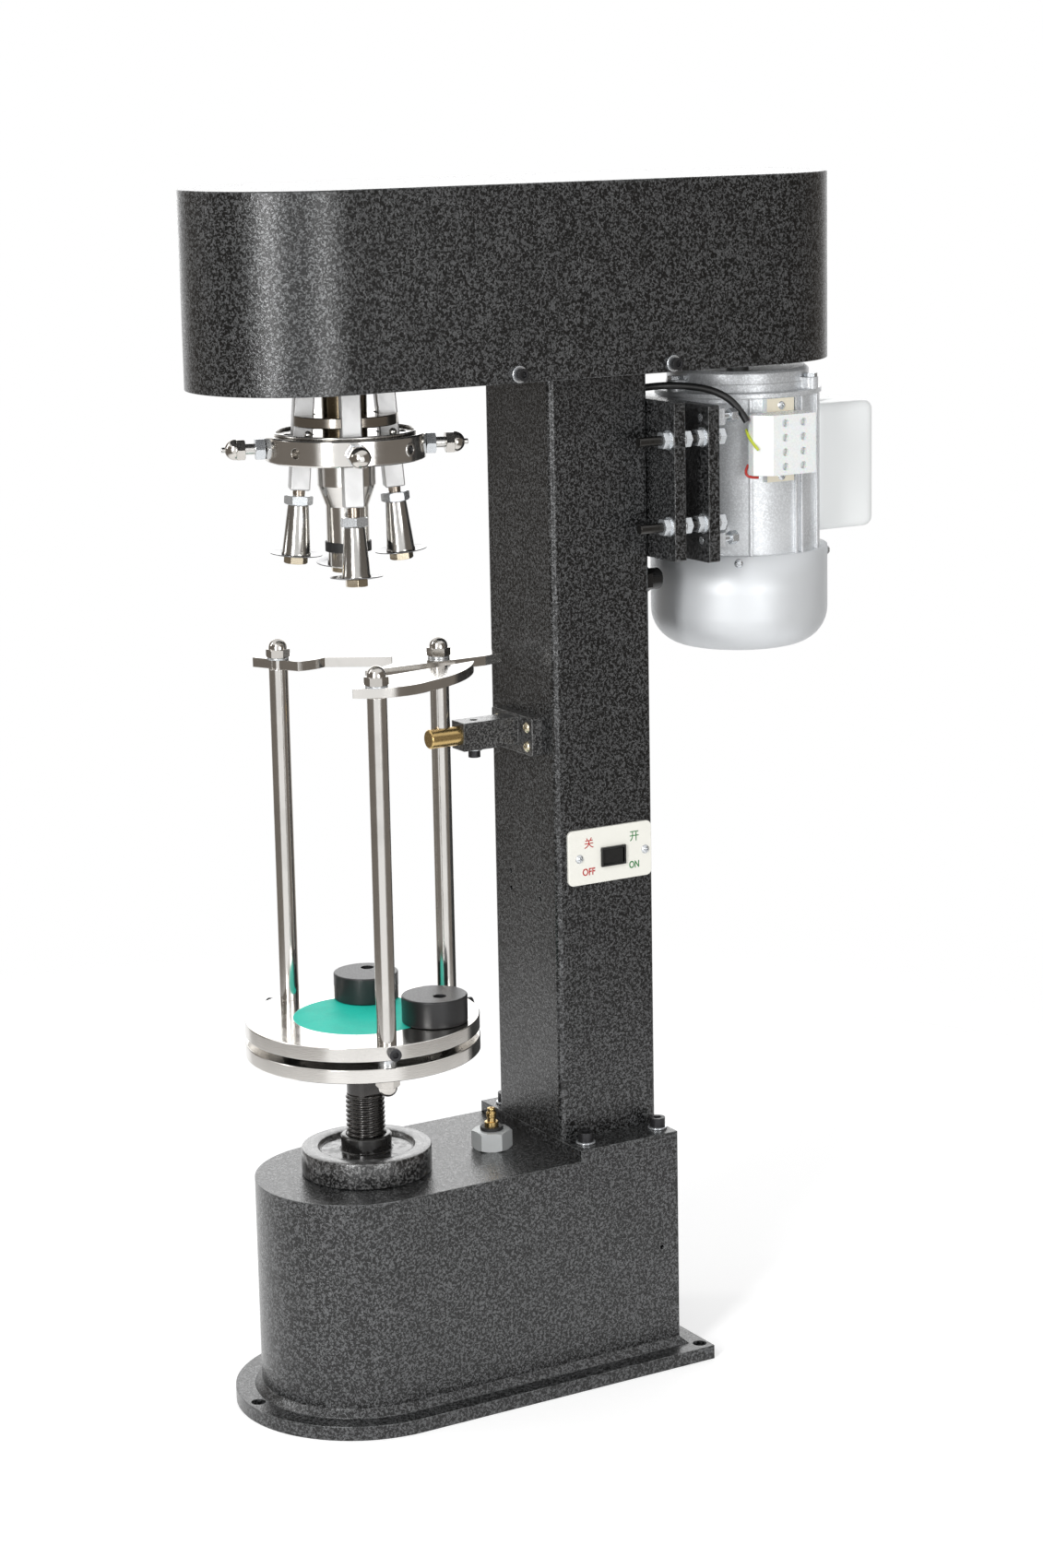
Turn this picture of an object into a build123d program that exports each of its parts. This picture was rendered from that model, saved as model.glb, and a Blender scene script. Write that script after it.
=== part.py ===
"""Bench capping machine with four closing rollers and a screw-lifted bottle platform.

Millimetres, +Z up. The origin is on the spindle axis, at the underside of the base plate.
The operator stands at -Y, the drive motor hangs at +Y, and the switch is on the +X side.
"""
import os
from math import asin, cos, pi, radians, sin, sqrt, tan

from build123d import *

os.makedirs("parts", exist_ok=True)

# Clearances
run_fit = 0.05
slide_fit = 0.1
free_gap = 0.3

# Base plate with a half-round front
base_front_centre = -10.0
base_half = 106.0
base_rear = 274.0
base_t = 12.0
base_hole_r = 6.0
base_hole_side_edge = 10.7
base_hole_rear_edge = 8.0
base_hole_front_edge = 9.0

# Base housing, a welded shell with a thick roof
body_half = 84.0
body_rear = 252.6
body_top = 192.7
body_wall = 5.0
body_roof = 8.0
weld_leg = 6.0
drain_r = 2.0
drain_rear_edge = 16.6
drain_z = 101.5

# Column with its foot flange and the fixed motor plate
column_half = 52.7
column_front = 157.4
column_rear = 251.8
column_top = 846.0
column_wall = 5.0
column_edge_r = 5.0
flange_t = 9.3
flange_screw_edge = 17.0
flange_screw_y = (172.0, 243.5)

# Screw sizes: shank radius, head radius and head height
m8_shank = 4.0
m8_head = 6.6
m8_head_h = 8.0
m6_shank = 3.0
m6_head = 5.0
m6_head_h = 6.0
m5_shank = 2.5
m5_head = 4.6
m5_head_h = 2.6
m4_shank = 2.0
m4_head = 3.8
m4_head_h = 2.2
washer_t = 1.6
washer_rim = 1.6
m8_nut_across = 13.0
m8_nut_h = 6.5

# Spare tapped holes in the column front
spare_x = 24.0
spare_z = (406.0, 421.0)
spare_r = 2.1

# Cover over the drive
cover_half = 89.7
cover_front = -129.0
cover_rear = 449.0
cover_height = 155.0
cover_drop = 1.0
cover_wall = 2.5
cover_screw_y = (108.6, 253.0)
top_plate_t = 12.0
head_opening_r = 52.0
wire_opening = 40.0

# Spindle bearings and their housing
spindle_r = 18.0
journal_r = 15.0
bearing_r = 31.0
bearing_h = 16.0
bearing_race = 4.5
bearing_gap_h = 8.0
bearing_shelf = 4.0
bearing_tube_r = 38.0
bearing_flange_r = 72.0
bearing_flange_t = 10.0
bearing_screw_r = 62.0
spindle_nut_across = 36.0
spindle_nut_h = 10.0

# Belt drive
motor_y = 376.0
belt_w = 10.0
belt_inner_w = 6.0
belt_t = 6.0
head_pulley_r = 66.0
motor_pulley_r = 34.5
pulley_h = 20.0
pulley_hub_r = 24.0
motor_hub_r = 16.0
groove_extra = 2.0
pulley_lift = 4.0

# Head disc and ring
disc_r = 42.3
disc_z = 813.3
disc_t = 8.4
ring_r = 64.0
ring_z = 785.5
ring_t = 20.5
ring_edge = 1.0
slot_inner_r = 23.5
window_inner_r = 25.2
window_outer_r = 48.5
garter_r = 56.0
garter_wire_r = 1.2
ball_r = 3.2
ball_place_r = 47.5
ball_stem_r = 1.6
ball_lift = 3.0
set_screw_r = 4.0
set_screw_socket = 5.0
set_screw_len = 12.0
set_screw_sunk = 1.0
between_arms = 45.0
adjuster_r = 4.5
adjuster_nut_across = 16.0
adjuster_nut_h = 8.0
adjuster_free = 8.0
adjuster_dome_r = 9.0
adjuster_dome_hex_h = 7.0
adjuster_tip_r = 2.2
adjuster_tip = 3.0
adjuster_tip_gap = 1.2

# Arms: plan angle, and how far down each pair ends
arm_w = 16.0
arm_tilt = 4.5
arm_pivot_r = 36.0
arm_pivot_z = 789.0
arm_pin_r = 3.0
arm_pin_hold = 13.0
arm_rise = 63.0
arm_edge = 0.8
arm_names = ("right", "rear", "left", "front")
arm_angles = {"right": -20.0, "rear": 70.0, "left": 160.0, "front": 250.0}
arm_drop = {"right": 38.0, "rear": 27.0, "left": 38.0, "front": 27.0}
disc_drop = {"right": 93.3, "rear": 79.0, "left": 93.3, "front": 79.0}

# Rollers: tapered holder, saucer disc and nut
stud_r = 5.0
lock_nut_across = 20.0
lock_nut_h = 7.3
holder_h = 40.0
holder_top_r = 8.4
holder_foot_r = 11.4
holder_cap = 6.0
saucer_r = 21.0
saucer_t = 1.0
saucer_rise = 1.2
saucer_flat_r = 14.0
roller_nut_across = 16.5
roller_nut_h = 6.0

# Pressure sleeve and the sprung plunger in it
sleeve_top_r = 23.3
sleeve_r = 17.2
sleeve_cone_top = 765.0
sleeve_cone_foot = 748.0
sleeve_foot = 712.0
sleeve_bore = 14.5
sleeve_step_z = 741.0
sleeve_step_r = 15.6
spindle_spigot = 10.5
rubber_r = 18.5
rubber_h = 7.5
plunger_drop = 13.0
plunger_head_h = 5.0
plunger_edge = 1.0

# Bottle platform: two discs on one screw
platform_r = 96.3
platform_top = 326.0
platform_t = 12.0
lower_disc_r = 96.5
lower_disc_t = 11.5
disc_space = 6.0
disc_edge = 0.6
pad_r = 57.0
pad_t = 2.0

# Posts, neck plates and their domed nuts
post_r = 8.0
post_place_r = 83.5
post_angles = (-14.5, 94.5, 199.0)
post_spigot_r = 5.0
post_shoulder_z = 607.0
neck_t = 8.0
post_spacer_r = 7.5
dome_nut_across = 17.0
dome_nut_h = 7.0
dome_r = 7.6
dome_neck = 1.0
rim_screw_angles = (-13.0, 89.5, 202.5)

# Lift screw, its neck, bush and lock wheel
lift_r = 16.25
lift_neck_r = 15.0
lift_neck_across = 25.0
lift_neck_z = 260.0
lift_foot_z = 100.0
lift_spigot_r = 10.0
bush_r = 23.0
bush_flange_r = 34.0
bush_flange_t = 8.0
bush_h = 42.0
wheel_r = 54.0
wheel_h = 22.0
wheel_rim = 5.0
wheel_dish = 4.0
wheel_hub_r = 21.0
wheel_hub_h = 10.0
wheel_edge = 1.2

# Bottle stops, round blocks on off-centre screws
stop_r = 27.0
stop_h = 22.5
stop_edge = 1.2
stop_screw_r = 4.0
stop_head_r = 5.2
stop_head_h = 5.5
stop_sink = 11.0
stop_screw_deep = 9.0
stop_centre = {"right": (49.3, 40.7), "left": (-45.1, 27.5)}
stop_screw = {"right": (57.6, 41.2), "left": (-54.7, 34.0)}

# Guide bracket on the column and its notched pin
guide_z = 549.0
guide_plate_half = 33.0
guide_plate_z = (530.5, 562.5)
guide_plate_t = 10.0
guide_screw_x = 24.0
guide_screw_z = (537.5, 553.5)
guide_arm_half = 10.0
guide_arm_z = (537.0, 560.5)
guide_arm_front = 96.0
guide_clamp_y = 111.0
guide_top_hole_r = 3.2
guide_pin_r = 8.0
guide_pin_front = 68.0
guide_pin_hold = 26.0

# Switch on the column side
switch_y = (167.0, 248.5)
switch_z = (421.0, 468.0)
switch_t = 2.6
switch_corner = 5.0
rocker_y = (198.5, 222.0)
rocker_z = (434.5, 450.6)
switch_screw_y = (177.6, 242.1)
switch_screw_z = 443.6
switch_depth = 26.0
switch_rim = 1.6
switch_lip_t = 1.4
rocker_lean = 8.0
rocker_rise = 1.6
rocker_deep = 9.0
rocker_pin_r = 1.5
rocker_pin_sink = 3.5

# Lubrication fitting on the base roof
fitting_x = 8.0
fitting_y = 115.0
fitting_across = 30.0
fitting_h = 16.0
fitting_ring_r = 9.8
fitting_ring_h = 3.0
nipple_r = 6.0
nipple_waist_r = 3.6
nipple_h = 16.0

# Motor plates and tension studs
plate_half = 92.0
plate_t = 10.5
fixed_plate_z = (690.0, 820.5)
motor_plate_y = 285.0
motor_plate_z = (686.3, 815.5)
plate_corner = 2.0
stud_x = 84.0
stud_z = (718.5, 789.5)
stud_front = 222.0
stud_rear_free = 2.0

# Motor
motor_r = 69.5
motor_z = (683.5, 819.0)
motor_lip = 1.5
motor_lip_h = 4.0
rib_h = 3.0
rib_w = 2.4
rib_angles = (-25.5, 8.6, 14.5, 34.0, 146.0, 165.5, 171.4, 205.5)
shield_r = 61.0
shield_top = 837.0
shield_seam = 826.0
lug_angles = (33.0, 153.0, 273.0)
lug_r = 6.5
lug_z = (817.0, 829.0)
lug_reach = 66.5
cowl_r = 76.0
cowl_z = 595.0
cowl_wall = 1.5
cowl_round = 14.0
cowl_hole_r = 4.0
cowl_hole_rings = (22.0, 36.0, 50.0)
cowl_screw_drop = 5.5
cowl_screw_angles = (-34.0, 56.0, 146.0, 236.0)
rotor_r = 38.0
rotor_z = (700.0, 800.0)
shaft_r = 9.5
shaft_foot_z = 618.0
fan_r = 64.0
fan_hub_r = 15.0
fan_h = 30.0
fan_blade_t = 2.5
fan_blades = 7
foot_half = 88.0
foot_t = 8.0
foot_web_half = 52.0
foot_z = ((698.0, 709.5), (798.5, 812.0))
foot_bolt_x = 80.0
foot_bolt_z = (703.8, 805.2)

# Terminal block and capacitor box
terminal_base_x = 73.0
terminal_base_y = (356.0, 383.0)
terminal_base_z = (745.5, 815.0)
terminal_x = 98.0
terminal_y = (333.0, 388.0)
terminal_z = (754.0, 804.0)
terminal_bevel = 12.0
terminal_hole_r = 3.2
terminal_hole_deep = 5.0
terminal_screw_z = (749.8, 809.0)
terminal_screw_y = 370.5
box_half = 28.0
box_rear = 503.0
box_z = (694.0, 802.5)
box_round = 12.0
box_tab_h = 9.5
box_tab_half = 9.0
box_tab_t = 3.0

# Cable between the column and the terminal block, and the gland below it
cable_r = 3.0
cable_route = (
    (40.0, 247.0, 828.0),
    (41.0, 268.0, 829.5),
    (51.0, 289.0, 829.0),
    (63.0, 309.0, 825.0),
    (76.0, 323.0, 814.5),
    (82.0, 329.6, 799.0),
)
cable_bend_share = 0.45
grommet_r = 5.5
gland_x = 38.0
gland_z = 669.0
gland_r = 10.0
gland_nut_across = 20.0
gland_nut_h = 6.0
gland_dome_h = 12.0
gland_thread_r = 8.0
gland_bore_r = 4.5

# Places worked out from the sizes above
base_hole_x = base_half - base_hole_side_edge
flange_screw_x = body_half - flange_screw_edge
cover_foot = column_top - cover_drop
cover_top = cover_foot + cover_height
top_plate_half = cover_half - cover_wall
plate_mid_z = column_top + top_plate_t / 2
cover_front_centre = cover_front + cover_half
cover_rear_centre = cover_rear - cover_half
column_depth = column_rear - column_front
column_mid = (column_rear + column_front) / 2
top_plate_top = column_top + top_plate_t
bearing_low = top_plate_top + bearing_shelf
bearing_high = bearing_low + bearing_h + bearing_gap_h
bearing_top = bearing_high + bearing_h
belt_z = bearing_top + pulley_lift + pulley_h / 2
upper_under = platform_top - platform_t
lower_top = upper_under - disc_space
lower_under = lower_top - lower_disc_t
neck_top = post_shoulder_z + neck_t
post_points = [(post_place_r * cos(radians(a)), post_place_r * sin(radians(a))) for a in post_angles]
stand = (Align.CENTER, Align.CENTER, Align.MIN)
hang = (Align.CENTER, Align.CENTER, Align.MAX)


# Planes that face outward from the machine
def facing_front(y):
    return Plane(origin=(0, y, 0), x_dir=(1, 0, 0), z_dir=(0, -1, 0))


def facing_rear(y):
    return Plane(origin=(0, y, 0), x_dir=(-1, 0, 0), z_dir=(0, 1, 0))


def facing_right(x):
    return Plane(origin=(x, 0, 0), x_dir=(0, 1, 0), z_dir=(1, 0, 0))


def outward(angle, reach, z):
    """Plane on a vertical cylinder about the spindle axis, facing away from the axis."""
    turn = radians(angle)
    place = (reach * cos(turn), reach * sin(turn), z)
    return Plane(origin=place, x_dir=(-sin(turn), cos(turn), 0), z_dir=(cos(turn), sin(turn), 0))


def motor_outward(angle, reach, z):
    """Plane on a vertical cylinder about the motor axis, facing away from it."""
    turn = radians(angle)
    place = (reach * cos(turn), motor_y + reach * sin(turn), z)
    return Plane(origin=place, x_dir=(-sin(turn), cos(turn), 0), z_dir=(cos(turn), sin(turn), 0))


def arm_plane(angle, along):
    """Plane across a leaning arm, at a distance up the arm from its pivot."""
    turn = radians(angle)
    lean = radians(arm_tilt)
    up = (-sin(lean) * cos(turn), -sin(lean) * sin(turn), cos(lean))
    out = (cos(lean) * cos(turn), cos(lean) * sin(turn), sin(lean))
    place = (
        arm_pivot_r * cos(turn) + up[0] * along,
        arm_pivot_r * sin(turn) + up[1] * along,
        arm_pivot_z + up[2] * along,
    )
    return Plane(origin=place, x_dir=out, z_dir=up)


# Fasteners, each standing on a seat plane with its shank going into the seat
def prism(seat, across, height, lift=0.0):
    with BuildSketch(seat.offset(lift)) as outline:
        RegularPolygon(across / 2, 6, major_radius=False)
    extrude(outline.sketch, amount=height)


def socket_screw(seat, shank, head, head_h, length, washer=True):
    lift = washer_t if washer else 0.0
    with Locations(seat):
        Cylinder(shank, length, align=hang)
        if washer:
            Cylinder(head + washer_rim, washer_t, align=stand)
    with Locations(seat.offset(lift)):
        Cylinder(head, head_h, align=stand)
    with BuildSketch(seat.offset(lift + head_h)) as socket:
        RegularPolygon(head / 2, 6, major_radius=False)
    extrude(socket.sketch, amount=-head_h / 2, mode=Mode.SUBTRACT)


def pan_screw(seat, shank, head, head_h, length):
    """Low round head with a cross slot."""
    ball = (head * head + head_h * head_h) / (2 * head_h)
    with Locations(seat):
        Cylinder(shank, length, align=hang)
    with BuildSketch(Plane(origin=seat.origin, x_dir=seat.x_dir, z_dir=-seat.y_dir)) as half:
        with BuildLine():
            Line((0, 0), (head, 0))
            RadiusArc((head, 0), (0, head_h), -ball)
            Line((0, head_h), (0, 0))
        make_face()
    revolve(half.sketch, axis=Axis(seat.origin, seat.z_dir))
    with BuildSketch(seat.offset(head_h)) as cross:
        Rectangle(head, head / 5)
        Rectangle(head / 5, head)
    extrude(cross.sketch, amount=-head_h / 2, mode=Mode.SUBTRACT)


def hex_nut(seat, across, height, washer_radius=0.0):
    lift = 0.0
    if washer_radius > 0:
        lift = washer_t
        with Locations(seat):
            Cylinder(washer_radius, washer_t, align=stand)
    prism(seat, across, height, lift)


def dome_nut(seat, across, height, radius, neck, lift=0.0):
    """Domed cap nut: a hexagon, a short round neck and a half ball."""
    prism(seat, across, height, lift)
    with BuildSketch(Plane(origin=seat.origin, x_dir=seat.x_dir, z_dir=-seat.y_dir)) as half:
        foot = lift + height
        with BuildLine():
            Polyline((0, foot), (radius, foot), (radius, foot + neck))
            RadiusArc((radius, foot + neck), (0, foot + neck + radius), -radius)
            Line((0, foot + neck + radius), (0, foot))
        make_face()
    revolve(half.sketch, axis=Axis(seat.origin, seat.z_dir))


def bore(seat, radius, depth):
    with Locations(seat):
        Cylinder(radius, depth, align=hang, mode=Mode.SUBTRACT)


# Outlines seen from above
def round_front(half, rear):
    """Half-round front and square rear."""
    with BuildSketch() as outline:
        with BuildLine():
            Polyline((half, base_front_centre), (half, rear), (-half, rear), (-half, base_front_centre))
            ThreePointArc(
                (-half, base_front_centre), (0, base_front_centre - half), (half, base_front_centre)
            )
        make_face()
    return outline.sketch


def long_round(half):
    """Half-round at both ends, about the two end centres of the cover."""
    with BuildSketch() as outline:
        with Locations((0, (cover_front_centre + cover_rear_centre) / 2)):
            SlotCenterToCenter(cover_rear_centre - cover_front_centre, 2 * half, rotation=90)
    return outline.sketch


# Base plate
with BuildPart() as base_plate:
    with BuildSketch():
        add(round_front(base_half, base_rear))
    extrude(amount=base_t)
    with Locations(
        (base_hole_x, base_rear - base_hole_rear_edge, base_t),
        (-base_hole_x, base_rear - base_hole_rear_edge, base_t),
        (0, base_front_centre - base_half + base_hole_front_edge, base_t),
    ):
        Hole(base_hole_r)
base_plate.part.label = "base_plate"
export_step(base_plate.part, "parts/base_plate.step")

# Base housing, open below, with a weld bead round its foot
with BuildPart() as base_housing:
    with BuildSketch(Plane.XY.offset(base_t)):
        add(round_front(body_half, body_rear))
    extrude(amount=body_top - base_t)
    with BuildSketch(Plane.XY.offset(base_t)):
        add(round_front(body_half + weld_leg, body_rear + weld_leg))
    extrude(amount=weld_leg, taper=45)
    with BuildSketch(Plane.XY.offset(base_t)):
        add(round_front(body_half - body_wall, body_rear - body_wall))
    extrude(amount=body_top - body_roof - base_t, mode=Mode.SUBTRACT)
    bore(Plane.XY.offset(body_top), bush_r, body_roof)
    for x in (flange_screw_x, -flange_screw_x):
        for y in flange_screw_y:
            bore(Plane.XY.offset(body_top).shift_origin((x, y, body_top)), m8_shank, body_roof)
    bore(Plane(origin=(body_half, body_rear - drain_rear_edge, drain_z), z_dir=(1, 0, 0)), drain_r, body_wall)
    bore(Plane(origin=(fitting_x, fitting_y, body_top)), nipple_r, body_roof)
base_housing.part.label = "base_housing"
export_step(base_housing.part, "parts/base_housing.step")

# Foot flange of the column, open in the middle
flange_top = body_top + flange_t
with BuildPart() as column_flange:
    with BuildSketch(Plane.XY.offset(body_top)):
        with Locations((0, (column_front + body_rear) / 2)):
            Rectangle(2 * body_half, body_rear - column_front)
        with Locations((0, column_mid)):
            Rectangle(2 * (column_half - column_wall), column_depth - 2 * column_wall, mode=Mode.SUBTRACT)
    extrude(amount=flange_t)
    for x in (flange_screw_x, -flange_screw_x):
        for y in flange_screw_y:
            bore(Plane(origin=(x, y, flange_top)), m8_shank + free_gap, flange_t)
column_flange.part.label = "column_flange"
export_step(column_flange.part, "parts/column_flange.step")

# Column, a rounded tube that stands on the flange
with BuildPart() as column:
    with BuildSketch(Plane.XY.offset(flange_top)):
        with Locations((0, column_mid)):
            RectangleRounded(2 * column_half, column_depth, column_edge_r)
            Rectangle(2 * (column_half - column_wall), column_depth - 2 * column_wall, mode=Mode.SUBTRACT)
    extrude(amount=column_top - flange_top)
    for x in (guide_screw_x, -guide_screw_x):
        for z in guide_screw_z:
            bore(Plane(origin=(x, column_front, z), z_dir=(0, -1, 0)), m5_shank, column_wall)
    for x in (spare_x, -spare_x):
        for z in spare_z:
            bore(Plane(origin=(x, column_front, z), z_dir=(0, -1, 0)), spare_r, column_wall)
    with BuildSketch(facing_right(column_half)):
        with Locations((sum(rocker_y) / 2, sum(rocker_z) / 2)):
            Rectangle(rocker_y[1] - rocker_y[0], rocker_z[1] - rocker_z[0])
    extrude(amount=-column_wall, mode=Mode.SUBTRACT)
    for y in switch_screw_y:
        bore(Plane(origin=(column_half, y, switch_screw_z), z_dir=(1, 0, 0)), m4_shank, column_wall)
    bore(Plane(origin=(gland_x, column_rear, gland_z), z_dir=(0, 1, 0)), gland_thread_r, column_wall)
    bore(Plane(origin=(cable_route[0][0], column_rear, cable_route[0][2]), z_dir=(0, 1, 0)), grommet_r, column_wall)
column.part.label = "column"
export_step(column.part, "parts/column.step")

# Fixed motor plate, welded to the rear of the column
with BuildPart() as fixed_plate:
    with BuildSketch(facing_rear(column_rear)):
        with Locations((0, sum(fixed_plate_z) / 2)):
            RectangleRounded(2 * plate_half, fixed_plate_z[1] - fixed_plate_z[0], plate_corner)
        with Locations(*[(x, z) for x in (stud_x, -stud_x) for z in stud_z]):
            Circle(m8_shank, mode=Mode.SUBTRACT)
    extrude(amount=plate_t)
fixed_plate.part.label = "fixed_plate"
export_step(fixed_plate.part, "parts/fixed_plate.step")

# Top plate welded on the column, which carries the spindle and the cover
with BuildPart() as top_plate:
    with BuildSketch(Plane.XY.offset(column_top)):
        add(long_round(top_plate_half))
        Circle(head_opening_r, mode=Mode.SUBTRACT)
        with Locations((0, column_mid)):
            Rectangle(wire_opening, wire_opening, mode=Mode.SUBTRACT)
        with Locations((0, motor_y)):
            Circle(motor_hub_r + shaft_r, mode=Mode.SUBTRACT)
        with PolarLocations(bearing_screw_r, 4, start_angle=between_arms):
            Circle(m8_shank, mode=Mode.SUBTRACT)
    extrude(amount=top_plate_t)
    for side in (1, -1):
        for y in cover_screw_y:
            seat = Plane(origin=(side * top_plate_half, y, plate_mid_z), z_dir=(side, 0, 0))
            bore(seat, m6_shank, 2 * m6_head_h)
top_plate.part.label = "top_plate"
export_step(top_plate.part, "parts/top_plate.step")

# Cover, one deep shell that is open below
with BuildPart() as upper_cover:
    with BuildSketch(Plane.XY.offset(cover_foot)):
        add(long_round(cover_half))
    extrude(amount=cover_top - cover_foot)
    fillet(upper_cover.faces().sort_by(Axis.Z)[-1].edges(), cover_wall / 2)
    with BuildSketch(Plane.XY.offset(cover_foot)):
        add(long_round(top_plate_half))
    extrude(amount=cover_top - cover_wall - cover_foot, mode=Mode.SUBTRACT)
    for side in (1, -1):
        for y in cover_screw_y:
            seat = Plane(origin=(side * cover_half, y, plate_mid_z), z_dir=(side, 0, 0))
            bore(seat, m6_shank + free_gap, cover_wall)
upper_cover.part.label = "upper_cover"
export_step(upper_cover.part, "parts/upper_cover.step")

# Bearing housing bolted on the top plate
with BuildPart() as bearing_housing:
    with BuildSketch(Plane.XZ):
        with BuildLine():
            Polyline(
                (spindle_r + washer_rim, top_plate_top),
                (bearing_flange_r, top_plate_top),
                (bearing_flange_r, top_plate_top + bearing_flange_t),
                (bearing_tube_r, top_plate_top + bearing_flange_t),
                (bearing_tube_r, bearing_top),
                (bearing_r, bearing_top),
                (bearing_r, bearing_low),
                (spindle_r + washer_rim, bearing_low),
                close=True,
            )
        make_face()
    revolve(axis=Axis.Z)
    with BuildSketch(Plane.XY.offset(top_plate_top)):
        with PolarLocations(bearing_screw_r, 4, start_angle=between_arms):
            Circle(m8_shank + free_gap)
    extrude(amount=bearing_flange_t, mode=Mode.SUBTRACT)
bearing_housing.part.label = "bearing_housing"
export_step(bearing_housing.part, "parts/bearing_housing.step")

# Two ball bearings, with sunk shields between their races
with BuildPart() as spindle_bearings:
    for z in (bearing_low, bearing_high):
        with Locations((0, 0, z)):
            Cylinder(bearing_r, bearing_h, align=stand)
        with Locations((0, 0, z + bearing_h), (0, 0, z + washer_rim)):
            Cylinder(bearing_r - bearing_race, washer_rim, align=hang, mode=Mode.SUBTRACT)
        with Locations((0, 0, z)):
            Cylinder(journal_r + run_fit + bearing_race, bearing_h, align=stand)
            Cylinder(journal_r + run_fit, bearing_h, align=stand, mode=Mode.SUBTRACT)
spindle_bearings.part.label = "spindle_bearings"
export_step(spindle_bearings.part, "parts/spindle_bearings.step")

# Socket screws of the column flange and of the bearing housing
with BuildPart() as m8_screws:
    for x in (flange_screw_x, -flange_screw_x):
        for y in flange_screw_y:
            seat = Plane(origin=(x, y, body_top + flange_t))
            socket_screw(seat, m8_shank, m8_head, m8_head_h, flange_t + body_roof)
    for turn in range(4):
        angle = radians(between_arms + 90 * turn)
        seat = Plane(
            origin=(bearing_screw_r * cos(angle), bearing_screw_r * sin(angle), top_plate_top + bearing_flange_t)
        )
        socket_screw(seat, m8_shank, m8_head, m8_head_h, bearing_flange_t + top_plate_t, washer=False)
m8_screws.part.label = "m8_screws"
export_step(m8_screws.part, "parts/m8_screws.step")

# Socket screws of the cover, and the clamp screw below the guide arm
with BuildPart() as m6_screws:
    for side in (1, -1):
        for y in cover_screw_y:
            seat = Plane(origin=(side * cover_half, y, plate_mid_z), z_dir=(side, 0, 0))
            socket_screw(seat, m6_shank, m6_head, m6_head_h, m6_head_h * 2)
    clamp_len = guide_z - guide_pin_r - guide_arm_z[0]
    seat = Plane(origin=(0, guide_clamp_y, guide_arm_z[0]), z_dir=(0, 0, -1))
    socket_screw(seat, m6_shank, m6_head, m6_head_h, clamp_len)
m6_screws.part.label = "m6_screws"
export_step(m6_screws.part, "parts/m6_screws.step")

# Guide bracket: a plate on the column with an arm that holds the pin
with BuildPart() as guide_bracket:
    with BuildSketch(facing_front(column_front)):
        with Locations((0, sum(guide_plate_z) / 2)):
            RectangleRounded(2 * guide_plate_half, guide_plate_z[1] - guide_plate_z[0], plate_corner)
    extrude(amount=guide_plate_t)
    with BuildSketch(facing_front(column_front)):
        with Locations((0, sum(guide_arm_z) / 2)):
            Rectangle(2 * guide_arm_half, guide_arm_z[1] - guide_arm_z[0])
    extrude(amount=column_front - guide_arm_front)
    bore(Plane(origin=(0, guide_arm_front, guide_z), z_dir=(0, -1, 0)), guide_pin_r, guide_pin_hold)
    bore(Plane(origin=(0, guide_clamp_y, guide_arm_z[1])), guide_top_hole_r, guide_arm_z[1] - guide_z)
    bore(
        Plane(origin=(0, guide_clamp_y, guide_arm_z[0]), z_dir=(0, 0, -1)),
        m6_shank,
        guide_z - guide_arm_z[0],
    )
    for x in (guide_screw_x, -guide_screw_x):
        for z in guide_screw_z:
            seat = Plane(origin=(x, column_front - guide_plate_t, z), z_dir=(0, -1, 0))
            bore(seat, m5_shank + free_gap, guide_plate_t)
guide_bracket.part.label = "guide_bracket"
export_step(guide_bracket.part, "parts/guide_bracket.step")

# Guide pin, with a half-round notch that one platform post slides in
with BuildPart() as guide_pin:
    with Locations(Plane(origin=(0, guide_pin_front, guide_z), z_dir=(0, 1, 0))):
        Cylinder(guide_pin_r, guide_arm_front + guide_pin_hold - guide_pin_front, align=stand)
    chamfer(guide_pin.edges().sort_by(Axis.Y)[0], plunger_edge)
    with Locations((post_points[1][0], post_points[1][1], guide_z)):
        Cylinder(post_r + free_gap, 4 * guide_pin_r, mode=Mode.SUBTRACT)
    notch_floor = post_points[1][0]
    with Locations((notch_floor - guide_pin_r, post_points[1][1], guide_z)):
        Box(2 * guide_pin_r, 2 * (post_r + free_gap), 4 * guide_pin_r, mode=Mode.SUBTRACT)
guide_pin.part.label = "guide_pin"
export_step(guide_pin.part, "parts/guide_pin.step")

# Cross-head screws of the guide bracket
with BuildPart() as bracket_screws:
    for x in (guide_screw_x, -guide_screw_x):
        for z in guide_screw_z:
            seat = Plane(origin=(x, column_front - guide_plate_t, z), z_dir=(0, -1, 0))
            pan_screw(seat, m5_shank, m5_head, m5_head_h, guide_plate_t + column_wall)
bracket_screws.part.label = "bracket_screws"
export_step(bracket_screws.part, "parts/bracket_screws.step")

# Switch plate on the side of the column
rocker_mid_y = sum(rocker_y) / 2
rocker_mid_z = sum(rocker_z) / 2
rocker_w = rocker_y[1] - rocker_y[0]
rocker_h = rocker_z[1] - rocker_z[0]
with BuildPart() as switch_plate:
    with BuildSketch(facing_right(column_half)):
        with Locations((sum(switch_y) / 2, sum(switch_z) / 2)):
            RectangleRounded(switch_y[1] - switch_y[0], switch_z[1] - switch_z[0], switch_corner)
    extrude(amount=switch_t)
    fillet(switch_plate.faces().sort_by(Axis.X)[-1].edges(), switch_t / 3)
    with BuildSketch(facing_right(column_half)):
        with Locations((rocker_mid_y, rocker_mid_z)):
            Rectangle(rocker_w, rocker_h)
    extrude(amount=switch_t, mode=Mode.SUBTRACT)
    for y in switch_screw_y:
        bore(Plane(origin=(column_half + switch_t, y, switch_screw_z), z_dir=(1, 0, 0)), m4_shank, switch_t)
switch_plate.part.label = "switch_plate"
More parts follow.
